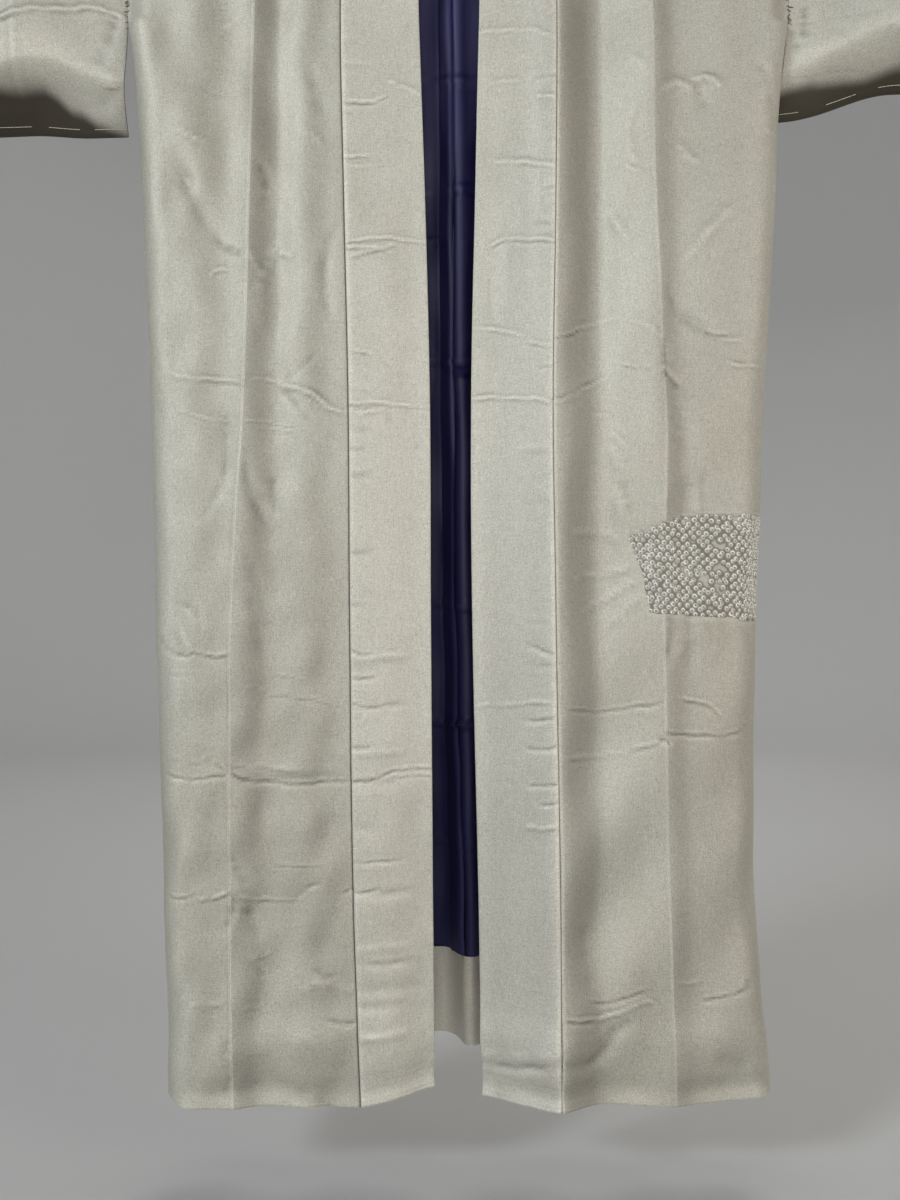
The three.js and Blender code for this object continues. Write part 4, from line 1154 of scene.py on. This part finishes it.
def band_piece():
    front_h = np.concatenate([np.linspace(60, 380, 90)[:-1], np.linspace(380, FRONT_LENGTH - 4, 560)[:-1],
                              np.linspace(FRONT_LENGTH - 4, FRONT_LENGTH, 6)])
    upper = np.concatenate([height_of(np.linspace(0, ARC, 7)), np.linspace(FOLD_RADIUS, 60, 8)[1:-1]])
    stations = np.concatenate([upper, front_h])
    round_neck = np.array([4, 9, 14, 20, 26, 33, 40, 47, 54, 62, 70, 78, 84, 90], float)
    parts = [
        band_front(-1, stations[::-1]),
        band_neck(-1, round_neck),
        band_neck(1, round_neck[-2::-1]),
        band_front(1, stations),
    ]
    side = np.concatenate([np.full(len(p[0]), s) for p, s in zip(parts, (-1, -1, 1, 1))])[:, None]
    grid = np.concatenate([p[0] for p in parts])
    h = np.concatenate([p[1] for p in parts])
    normal = outward(grid)
    behind = (grid[..., 1] > 5) & (h == 0)
    normal = np.where(behind[..., None], grid_normals(grid), normal)
    x = grid[..., 0]
    relief = np.where(side < 0, front_relief(-1, x, h), front_relief(1, x, h))
    relief += crease_field(pucker_table(), x, h) * (h > 30)
    relief *= smooth(30, 160, h)
    relief += hem_relief(x, FRONT_LENGTH - h)
    reach = BAND_SHARES[None, :] * BAND_WIDTH
    relief -= 1.7 * np.exp(-reach / 1.3) * smooth(20, 60, h)
    relief += 0.25 * np.exp(-(((reach - 73) / 5) ** 2)) * smooth(20, 60, h)
    # painted shade in the creases and along the band's sewn edge, painted light on crests
    hollow = hollowness(grid, relief) + 1.2 * np.exp(-((reach / 0.9) ** 2))
    grid = grid + normal * relief[..., None]
    thickness = BAND * np.sqrt(np.clip(1 - (1 - np.clip((BAND_WIDTH - reach) / 1.6, 0, 1)) ** 2, 0.02, 1))
    seams = [*ROW_ENDS, (np.nonzero(h[:, 0] > BAND_RISE_FROM)[0], 0, 0)]
    verts, quads, _ = shell(grid, rounded(thickness, FRONT_LENGTH - h), seams=seams)
    return make_piece("collar_band_cloth", [(verts, quads, 0)], [band_silk],
                      looks=both_faces(hollow=hollow), replaces="collar_band")


# ---------------------------------------------------------------- lining and hem facing
def layer_rows(h_low, h_high, step):
    return np.linspace(h_low, h_high, int((h_low - h_high) / step) + 1)


LAYER_COLUMNS_SIDE = 5  # of the side's steps that the layers cover
LAYER_FINE = (0, 0.6, 1.3, 2.2, 3.4, 5, 7, 9, 11, 12, 12.7, 13.4, 14.2, 15.5, 17.5, 20, 23, 26.5, 30, 34, 38,
              42, 47, 52, 57, 62, 67, 72, 76, 79.9)  # from the centre seam to under the band's seam, 80 wide
INWARD = SILK / 2 + LAYER + LINING / 2  # from the middle of the silk to the middle of a layer inside it
LAP = 0.3  # how far each layer runs past the centre seam, so that no light comes through it


def back_layer(side, rows, relief, thickness):
    """A sheet on the inside of one back panel, from height rows[0] up to rows[-1], and its attributes."""
    x, turn = panel_columns(side, 1, rows)
    keep = x.shape[1] - (SIDE_STEPS - 1) + LAYER_COLUMNS_SIDE
    centre = centre_x(rows)[:, None]
    share = np.array(LAYER_FINE)[None, :]
    beyond = np.abs(neck_columns(side, rows, 40)[:, -1:] - centre)
    neck_x = centre + side * np.where(share < 40, share, mix(40, beyond, (share - 40) / 40))
    neck_x[:, 0] -= side * LAP
    x, turn = beside_neck(neck_x, x[:, 3:keep:3], turn[:, 3:keep:3])
    h = back_heights(side, x, rows)[0]
    grid = body_point(side, 1, x, along_of(h), turn)
    moved = relief(x, h)
    hollow = hollowness(grid, -moved)
    grid = grid + outward(grid) * (moved - INWARD)[..., None]
    return both_faces(hollow=hollow), shell(grid, thickness, seams=[(slice(None), 0, 0), *ROW_ENDS])


def lining_relief(side):
    def relief(x, h):
        out = -2.2 * crease_field(LINING_CREASES, x, h)
        out += waves(x, h, 1.4, 13, 31 + side) - 1.6
        away = (x - centre_x(h)) * smooth(60, 120, h)
        out -= 2.4 * smooth(-13.6, -12.2, away) * smooth(0.5, -1.0, away) * (0.8 + 0.2 * np.sin(h / 90))
        out += 1.6 * np.exp(-((away / 1.5) ** 2)) + 0.8 * np.exp(-(((away + 13.5) / 1.6) ** 2))
        out -= 1.5 * np.exp(-(((away - 6) / 4.5) ** 2))
        return np.minimum(out, 0.35) * smooth(60, 130, h)

    return relief


def lining_piece(side):
    name = "back_lining_" + SIDE_NAME[side]
    top = BACK_LENGTH - FACING_HEIGHT - SEAM
    rows = np.concatenate([layer_rows(top, 360, 5.2), layer_rows(350, NECK_LEVEL, 10)])
    looks, (verts, quads, _) = back_layer(side, rows, lining_relief(side), 0.8)
    neck_verts, neck_quads, _ = shell(neck_lining(side), 0.8, seams=[(slice(None), 0, 0)])
    looks["hollow"] = np.concatenate([looks["hollow"], np.zeros(len(neck_verts))])
    parts = [(verts, quads, 0), (neck_verts, neck_quads, 0)]
    return make_piece(name + "_cloth", parts, [navy], looks=looks, replaces=name)


def neck_lining(side):
    """The lining behind the neck, between the neckline and the level where the panel's lining begins."""
    centre = centre_x(0) + side * SEAM / 2
    x = centre + side * np.sin(np.linspace(0, math.radians(38), 14)) * neck_half(side, centre)
    share = np.linspace(1, 0.02, 16)[:, None]
    along = mix(neckline_along(side, x)[None, :], float(along_of(NECK_LEVEL)) + 0.2, share)
    grid = body_point(side, 1, np.broadcast_to(x, along.shape), along)
    return grid - outward(grid) * INWARD


def facing_relief(side):
    def relief(x, h):
        out = waves(x, h, 0.6, 9, 41 + side)
        out -= 2.6 * np.exp(-(((x - centre_x(h) - 1) / 6) ** 2)) + 0.6
        return np.minimum(out, 0.3)

    return relief


def facing_piece(side):
    name = "back_hem_facing_" + SIDE_NAME[side]
    rows = np.concatenate([np.linspace(BACK_LENGTH, BACK_LENGTH - 3, 4)[:-1],
                           layer_rows(BACK_LENGTH - 3, BACK_LENGTH - FACING_HEIGHT, 3.0)])
    looks, (verts, quads, _) = back_layer(side, rows, facing_relief(side), 0.9)
    return make_piece(name + "_cloth", [(verts, quads, 0)], [facing_silk_painted_light], looks=looks, replaces=name)


# ---------------------------------------------------------------- sleeves
def side_line(h):
    """The right side seam, as the straight pieces that the sleeve's inner edge lies along."""
    rows = np.array([310, 370, 440, 520], float)
    return np.interp(h, rows, side_x(1, rows))


def sleeve_half_gap(share, h, foot):
    middle = mix(FOLD_RADIUS, SLEEVE_HALF_GAP, smooth(0, 200, h))
    inner = np.maximum(CLOSED, side_gap(h))
    outer = mix(FOLD_RADIUS, CLOSED, smooth(CUFF_OPENING - 90, CUFF_OPENING + 10, h))

    def widening(edge, away):
        return mix(edge, middle, np.sin(math.pi / 2 * np.minimum(1, away / TUCK)))

    gap = np.minimum(widening(inner, share), widening(outer, 1 - share))
    return mix(gap, np.minimum(gap, FOOT_RADIUS), smooth(foot - 150, foot - 8, h) ** 2)


def sleeve_x(side, share, h):
    seam = ARMHOLE_X if side < 0 else np.where(h <= ARMHOLE, ARMHOLE_X, side_line(h))
    splay = SLEEVES[side]["splay"] * smooth(ARMHOLE, SLEEVES[side]["inner_drop"], h)
    return side * mix(seam + splay + SILK / 2 + SEAM, SLEEVE_END, share)


def sleeve_centre(side, share, h, foot):
    lines = SLEEVES[side]
    down = h / foot
    sway = (5 * np.sin(9 * share + 1) + 3 * np.sin(17 * share)) * down * smooth(0, 0.35, share)
    rolled = lines["curl"] * mix(CURL_CORNER, 1, smooth(0, FOOT_FROM, share)) * foot_roll(share, down)
    return rolled + lines["swing"] * smooth(0, 0.45, share) * down**2 + sway


def foot_roll(share, down):
    """0 above the foot's roll and 1 at its end: a soft knee at an uneven height, then a straight slope."""
    start = CURL_START + 0.014 * np.sin(15 * share + 1)
    t = np.maximum(0, (down - start) / (1 - start))
    return (np.hypot(t, CURL_KNEE) - CURL_KNEE) / (math.hypot(1, CURL_KNEE) - CURL_KNEE)


# How far above the foot the painted shade of its roll reaches.
FOOT_SHADE = table("""
share left right
0 2 22
0.10 7 28
0.15 17 26
0.19 20 22
0.23 28 18
0.27 33 16
0.38 33 16
1 30 24
""")


def sleeve_piece(side):
    name = "sleeve_" + SIDE_NAME[side]
    lines = SLEEVES[side]
    share = np.concatenate([[0, 0.003, 0.008], np.linspace(0.016, 0.42, 46), np.linspace(0.42, 0.984, 24)[1:],
                            [0.992, 0.997, 1]])[:, None]
    foot = mix(lines["inner_drop"], lines["outer_drop"], smooth(0, FOOT_FROM, share))

    def layer(face, down):
        h = mix(FOLD_RADIUS, foot - FOOT_RADIUS * 0.65, down[None, 1:])
        y = sleeve_centre(side, share, h, foot) + face * sleeve_half_gap(share, h, foot)
        return points(sleeve_x(side, share, h), y, SHOULDER_Z - h)

    angle = np.radians(np.linspace(-90, 90, 13))[None, :]
    over = points(sleeve_x(side, share, 0.0), FOLD_RADIUS * np.sin(angle), FOLD_RADIUS * np.cos(angle) - ROD_DROP)
    gap = sleeve_half_gap(share, foot - FOOT_RADIUS, foot)
    turn = np.radians(np.array([54, 36, 18, 0, -18, -36, -54]))[None, :]
    drop = foot - FOOT_RADIUS * (1 - np.cos(turn))
    y = sleeve_centre(side, share, drop, foot) + gap * np.sin(turn)
    foot_turn = points(sleeve_x(side, share, drop), y, SHOULDER_Z - drop)
    front = layer(-1, np.concatenate([np.linspace(0, 0.7, 44)[:-1], np.linspace(0.7, 1, 72)]))[:, ::-1]
    back = layer(1, np.linspace(0, 1, 64))
    grid = np.concatenate([front, over, back, foot_turn], axis=1)
    height = SHOULDER_Z - grid[..., 2]
    normal = grid_normals(grid, ring=True)
    middle = grid.mean(axis=1, keepdims=True)
    if ((grid - middle) * normal)[..., 1:].sum() < 0:
        normal = -normal
    relief = crease_field(SLEEVE_CREASES, grid[..., 0], height + 7 * (grid[..., 1] > 0))
    relief += waves(grid[..., 0], height, 0.9, 20, 51 + side) + waves(grid[..., 0], height, 0.3, 8, 55 + side)
    near_foot = foot - height
    relief *= (smooth(20, 80, height) * smooth(0, 20, near_foot)
               * smooth(0, 0.05, share) * smooth(1, 0.97, share))
    relief += 0.4 * smooth(26, 20, near_foot) * smooth(0, 8, near_foot)
    above = near_foot - np.interp(share, FOOT_SHADE["share"], FOOT_SHADE[SIDE_NAME[side]])
    # painted shade on the rolled foot, with a wavy upper border
    shaded = smooth(7, -6, above - np.sin(grid[..., 0] / 9) - 1.5 * np.sin(grid[..., 0] / 23))
    on_front = np.arange(grid.shape[1]) < front.shape[1]
    # painted light on the sleeve's front just above its roll
    painted_light = 0.55 * smooth(0, 16, above) * smooth(70, 30, above) * on_front
    hollow = hollowness(grid, relief) - painted_light
    looks = both_faces(hollow=hollow, shaded=shaded)
    grid = grid + normal * relief[..., None]
    seams = [(0, slice(None), 0), (-1, slice(None), 0)]
    from_end = np.minimum(share, 1 - share) * (SLEEVE_END - ARMHOLE_X)
    verts, quads, part = shell(grid, rounded(SHELL, from_end), ring=True, seams=seams)
    # which of the shell's two faces looks into the sleeve
    facing_in = 0 if ((grid_normals(grid, ring=True) * (grid - middle))[..., 1:].sum() < 0) else 1
    lined = np.where(part == facing_in, 1, 0)
    piece = make_piece(name + "_cloth", [(verts, quads, lined)], [silk, navy], looks=looks, replaces=name)
    row = int(np.argmin(np.abs(near_foot[0, : front.shape[1]] - 6)))
    return piece, grid[:, row]


# ---------------------------------------------------------------- the tied patch
def beside_side_seam(face, h):
    """One row of the right panel, up to the side seam in front or on from it behind, and its relief."""
    edge = float(side_x(1, h))
    flat_end = edge - SIDE_ROUND
    turn = np.linspace(0, 90, 24)
    round_x = flat_end + SIDE_ROUND * np.sin(np.radians(turn))
    if face < 0:
        x = np.concatenate([np.linspace(PATCH_FROM_X, flat_end, 90), round_x[1:]])
        turn = np.concatenate([np.zeros(90), turn[1:]])
        relief = front_relief(1, x, np.full_like(x, h))
    else:
        x = np.concatenate([round_x[::-1], np.linspace(flat_end, flat_end - 50, 40)[1:]])
        turn = np.concatenate([turn[::-1], np.zeros(39)])
        relief = back_relief(1, x, np.full_like(x, h))
    relief = relief * mix(SIDE_RELIEF, 1, off_side(1, x, h))
    return body_point(1, face, x, along_of(np.array(h)), turn), relief


def patch_piece():
    """Kanoko: the silk drawn up into small tied points, each with an undyed ring round its tip."""
    rows = np.arange(PATCH_OUTLINE["h"][0] - 4, PATCH_OUTLINE["h"][-1] + 4, PATCH_STEP)
    count = int((340 - PATCH_FROM_X + PATCH_ROUND_BACK) / PATCH_STEP)
    places, outs, reaches, seam_s = [], [], [], []
    for h in rows:
        (front, front_out), (back, back_out) = beside_side_seam(-1, h), beside_side_seam(1, h)
        line, out = np.concatenate([front, back]), np.concatenate([front_out, back_out])
        length = np.concatenate([[0], np.cumsum(np.linalg.norm(np.diff(line, axis=0), axis=1))])
        side_length = length[len(front) - 1]
        target = np.linspace(0, side_length + PATCH_ROUND_BACK, count)
        places.append(np.stack([np.interp(target, length, line[:, k]) for k in range(3)], axis=1))
        outs.append(np.interp(target, length, out))
        reaches.append(target + PATCH_FROM_X)
        seam_s.append([side_length + PATCH_FROM_X])
    grid, out, s, seam_s = np.array(places), np.array(outs), np.array(reaches), np.array(seam_s)
    h = np.broadcast_to(rows[:, None], s.shape)
    normal = outward(grid)
    inside = in_patch(s, h) * smooth(seam_s + PATCH_ROUND_BACK - 0.5, seam_s + PATCH_ROUND_BACK - 5, s)
    knots, ring, eye = knot_field(s, h)
    lift = out + mix(-1.9, -0.1, inside) + knots * inside
    grid = grid + normal * lift[..., None]
    slack = waves(s, h, 0.6, 3.0, 71) - 0.3  # the cloth between the rows of ties is drawn into uneven hollows
    grid += slack[..., None] * normal * inside[..., None]
    verts, quads, _ = shell(grid, 0.35)
    looks = both_faces(ring=ring * inside, eye=eye * inside)
    return make_piece("tied_patch", [(verts, quads, 0)], [tied_silk], smooth_angle=80, looks=looks)


def knot_lattice():
    """Places of the ties along one row: closer at the patch's left end and round the robe's side."""
    x, places = 160.0, []
    while x < 400:
        places.append(x)
        x += float(np.interp(x, (190, 215, 285, 300), (6.2, KNOT_PITCH, KNOT_PITCH, 5.4)))
    return np.array(places)


def knot_field(s, h):
    """Height of the tied points, how much of the undyed ring shows, with painted light on its upper left, and the
    dark eye with painted shade in the crevices between the ties.
    """
    draw = np.random.default_rng(3)
    out, ring, eye, crowd = (np.zeros_like(s) for _ in range(4))
    lattice = knot_lattice()
    halfway = np.concatenate([(lattice[1:] + lattice[:-1]) / 2, [lattice[-1]]])
    for k, h0 in enumerate(np.arange(860, 1016, KNOT_ROW)):
        for x0 in (halfway if k % 2 else lattice):
            x = x0 + draw.normal(0, 0.65)
            y = h0 + KNOT_SLOPE * (x0 - 240) + draw.normal(0, 0.55)
            bare = ((x - BARE["x"]) / BARE["rx"]) ** 2 + ((y - BARE["h"]) / BARE["rh"]) ** 2
            size = draw.uniform(0.85, 1.12)
            lean_x, lean_h = draw.normal(-0.1, 0.3), draw.normal(-0.35, 0.3)
            if (bare < 1).any() or in_patch(np.array(x), np.array(y), 0.6) < 0.5:
                continue
            near = (np.abs(s - x) < 5) & (np.abs(h - y) < 5)
            ds, dh = s[near] - x, h[near] - y
            r = np.hypot(ds, dh) / size
            tip = np.hypot(ds - lean_x, dh - lean_h) / size
            rise = np.exp(-((r / KNOT_RADIUS) ** 2)) - 0.9 * np.exp(-((tip / 0.95) ** 2))
            out[near] = np.maximum(out[near], KNOT_HEIGHT * size * rise)
            crowd[near] += np.exp(-((r / 3.3) ** 2))
            around = np.arctan2(dh - lean_h, ds - lean_x)
            # painted light: each undyed ring is drawn brightest on its upper left, where the light falls
            lit_side = 0.55 + 0.45 * np.cos(around + 2.2 + draw.normal(0, 0.6))
            ringed = lit_side * np.exp(-(((tip - RING_RADIUS) / RING_WIDTH) ** 2))
            ring[near] = np.maximum(ring[near], ringed)
            eye[near] = np.maximum(eye[near], np.exp(-((tip / 1.0) ** 4)))
    # painted shade in the crevices between the ties
    valley = np.clip(1 - out / (0.42 * KNOT_HEIGHT), 0, 1) * smooth(0.08, 0.3, crowd)
    return out, np.clip(ring * 1.15, 0, 1), np.clip(eye + valley * 0.9 * (ring < 0.4), 0, 1)


# ---------------------------------------------------------------- stitches
def stitch_parts(lines, radius):
    """Small oval stitches, each from one point to another, as one set of vertices and quads."""
    ring = np.radians(np.arange(0, 360, 60))
    verts, quads = [], []
    stations = ((0.0, 0.15), (0.12, 0.8), (0.5, 1.0), (0.88, 0.8), (1.0, 0.15))
    for start, end in lines:
        start, end = np.asarray(start, float), np.asarray(end, float)
        axis = (end - start) / max(np.linalg.norm(end - start), 1e-6)
        other = np.cross(axis, (0.3, 0.9, 0.2))
        other /= np.linalg.norm(other)
        third = np.cross(axis, other)
        base = len(verts)
        for at, fat in stations:
            for angle in ring:
                away = other * math.cos(angle) + third * math.sin(angle)
                verts.append(start + (end - start) * at + radius * fat * away)
        n = len(ring)
        for i in range(len(stations) - 1):
            for j in range(n):
                k = (j + 1) % n
                near_ring, far_ring = base + i * n, base + (i + 1) * n
                quads.append([near_ring + j, near_ring + k, far_ring + k, far_ring + j])
        for cap in (base, base + (len(stations) - 1) * n):
            quads.append([cap, cap + 1, cap + 2, cap + 3])
            quads.append([cap, cap + 3, cap + 4, cap + 5])
    return np.array(verts), np.array(quads), 0


def run_of_stitches(line, spacing, length, lift, start=0.0):
    """Stitches that follow a line of points, every spacing mm, raised by the vector lift."""
    far = np.concatenate([[0], np.cumsum(np.linalg.norm(np.diff(line, axis=0), axis=1))])
    lift = np.asarray(lift, float)

    def at(d):
        return np.array([np.interp(d, far, line[:, k]) for k in range(3)])

    places = np.arange(start, far[-1] - length, spacing)
    jitter = random.normal(0, 0.03 * spacing, len(places))
    return [(at(d) + lift, at(d + length) + lift) for d in places + jitter]


def basting(line, spacing, length, lift):
    """Long loose stitches along a line: each lies on the cloth in short lengths, end to end."""
    out = []
    for start in np.arange(2, 330, spacing):
        lengths = run_of_stitches(line, 4.0, 4.3, lift, start)
        out += lengths[: int(length * random.uniform(0.75, 1.1) / 4)]
    return out


def stitch_piece(name, stitches, material, radius):
    verts, quads, part = stitch_parts(stitches, radius)
    return make_piece(name, [(verts, quads, part)], [material], smooth_angle=180)


def armhole_knots():
    """Dark thread wound over the foot of each armhole, where the sleeve is tacked to the body."""
    stitches = []
    for side in (-1, 1):
        for _ in range(9):
            h = ARMHOLE + random.uniform(-26, 4)
            x = side * (ARMHOLE_X + random.uniform(-3.5, 1.0))
            y = float(read(BODY_LINES, SIDE_NAME[side] + "_y", h)) - float(side_gap(h)) - 1.6
            reach = (side * random.uniform(3, 6), random.uniform(-0.4, 0.3), random.uniform(-4, 4))
            start = np.array([x, y, SHOULDER_Z - h])
            stitches.append((start, start + reach))
    return stitches


# ---------------------------------------------------------------- stage, lights and camera
def stage():
    """A pale floor that rises all round into a plain wall."""
    floor_z, radius, fillet, top = -1.70, 6.0, 2.0, 4.0
    profile = [(0.0, floor_z), (radius - fillet, floor_z)]
    for degrees in range(10, 91, 10):
        a = math.radians(degrees)
        profile.append((radius - fillet + fillet * math.sin(a), floor_z + fillet * (1 - math.cos(a))))
    profile.append((radius, top))
    around = 96
    verts, faces = [(0, 0, floor_z)], []
    for r, z in profile[1:]:
        for k in range(around):
            a = 2 * math.pi * k / around
            verts.append((r * math.cos(a), r * math.sin(a), z))
    for k in range(around):
        faces.append((0, 1 + k, 1 + (k + 1) % around))
    for ring in range(len(profile) - 2):
        for k in range(around):
            a, b = 1 + ring * around + k, 1 + ring * around + (k + 1) % around
            faces.append((a, a + around, b + around, b))
    mesh = bpy.data.meshes.new("pale_floor")
    mesh.from_pydata(verts, [], faces)
    mesh.polygons.foreach_set("use_smooth", np.ones(len(faces), bool))
    floor = bpy.data.objects.new("pale_floor", mesh)
    bpy.context.scene.collection.objects.link(floor)
    mesh.materials.append(Paint("pale_floor").done({"Base Color": (0.5, 0.5, 0.5), "Roughness": 0.9}))


def area_light(name, place, target, size, power, colour):
    light = bpy.data.lights.new(name, "AREA")
    light.shape = "RECTANGLE"
    light.size, light.size_y = size
    light.energy = power
    light.color = colour
    lamp = bpy.data.objects.new(name, light)
    lamp.location = place
    lamp.rotation_mode = "QUATERNION"
    lamp.rotation_quaternion = Vector(np.array(target) - np.array(place)).to_track_quat("-Z", "Y")
    bpy.context.scene.collection.objects.link(lamp)


def lights():
    area_light("key", (-4.0, -4.4, 1.3), (0, 0, -1.05), (1.4, 1.4), 290, (0.88, 0.955, 1.0))
    area_light("front", (0.2, -5.6, -0.3), (0, 0, -1.1), (1.5, 1.5), 92, (1.0, 0.985, 0.95))
    area_light("fill", (3.6, -3.4, 0.0), (0.1, 0, -1.1), (2.0, 2.4), 74, (1.0, 0.955, 0.88))
    area_light("rim", (2.6, -0.4, -0.4), (0.2, 0, -1.1), (1.2, 2.2), 10, (1.0, 0.95, 0.88))
    area_light("back", (1.2, 3.8, 2.7), (0, 0, -1.0), (1.6, 1.6), 80, (1.0, 0.98, 0.95))
    area_light("backdrop", (0, 1.0, 2.8), (0, 4.6, -1.0), (4.0, 1.6), 24, (1.0, 0.99, 0.97))
    world = bpy.data.worlds.new("studio")
    world.use_nodes = True
    world.node_tree.nodes["Background"].inputs[0].default_value = (1.0, 0.95, 0.87, 1)
    world.node_tree.nodes["Background"].inputs[1].default_value = 0.07
    bpy.context.scene.world = world
    bpy.context.scene.view_settings.view_transform = "Standard"


FOCAL_PX, IMAGE_HEIGHT = 1250, 1200
CAMERA_PLACE = (-0.0085, -1.310, -1.090)


def camera():
    data = bpy.data.cameras.new("camera")
    data.sensor_fit = "AUTO"
    data.sensor_width = 36
    data.lens = data.sensor_width * FOCAL_PX / IMAGE_HEIGHT
    view = bpy.data.objects.new("camera", data)
    view.location = CAMERA_PLACE
    view.rotation_euler = (math.pi / 2, 0, 0)
    bpy.context.scene.collection.objects.link(view)
    bpy.context.scene.camera = view


# ---------------------------------------------------------------- assembly
def paint_hanger():
    for node, material in (("hanger_rod", wood_material()), ("hanger_hook", steel_material())):
        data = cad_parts[node].data
        data.materials.clear()
        data.materials.append(material)


camera()
stage()
lights()
paint_hanger()

bodies, body_grids, sleeves, sleeve_lines = {}, {}, {}, {}
for side in (-1, 1):
    bodies[side], body_grids[side] = body_piece(side)
    sleeves[side], sleeve_lines[side] = sleeve_piece(side)
band = band_piece()
linings = {side: lining_piece(side) for side in (-1, 1)}
facings = {side: facing_piece(side) for side in (-1, 1)}
patch = patch_piece()

seams = []
for side in (-1, 1):
    seam = body_grids[side][:, NECK_FINE + 1]
    seam = seam[(SHOULDER_Z - seam[:, 2] > 150) & (seam[:, 1] < 0)]
    seams += run_of_stitches(seam, 5.2, 2.4, (0, -0.35, 0))
stitch_piece("band_seam_stitches", seams, thread_dark, 0.32)
stitch_piece("armhole_stitches", armhole_knots(), thread_dark, 0.4)
feet = []
for side in (-1, 1):
    feet += basting(sleeve_lines[side], 55, 36, (0, -0.8, -0.2))
stitch_piece("sleeve_foot_stitches", feet, thread_pale, 0.34)
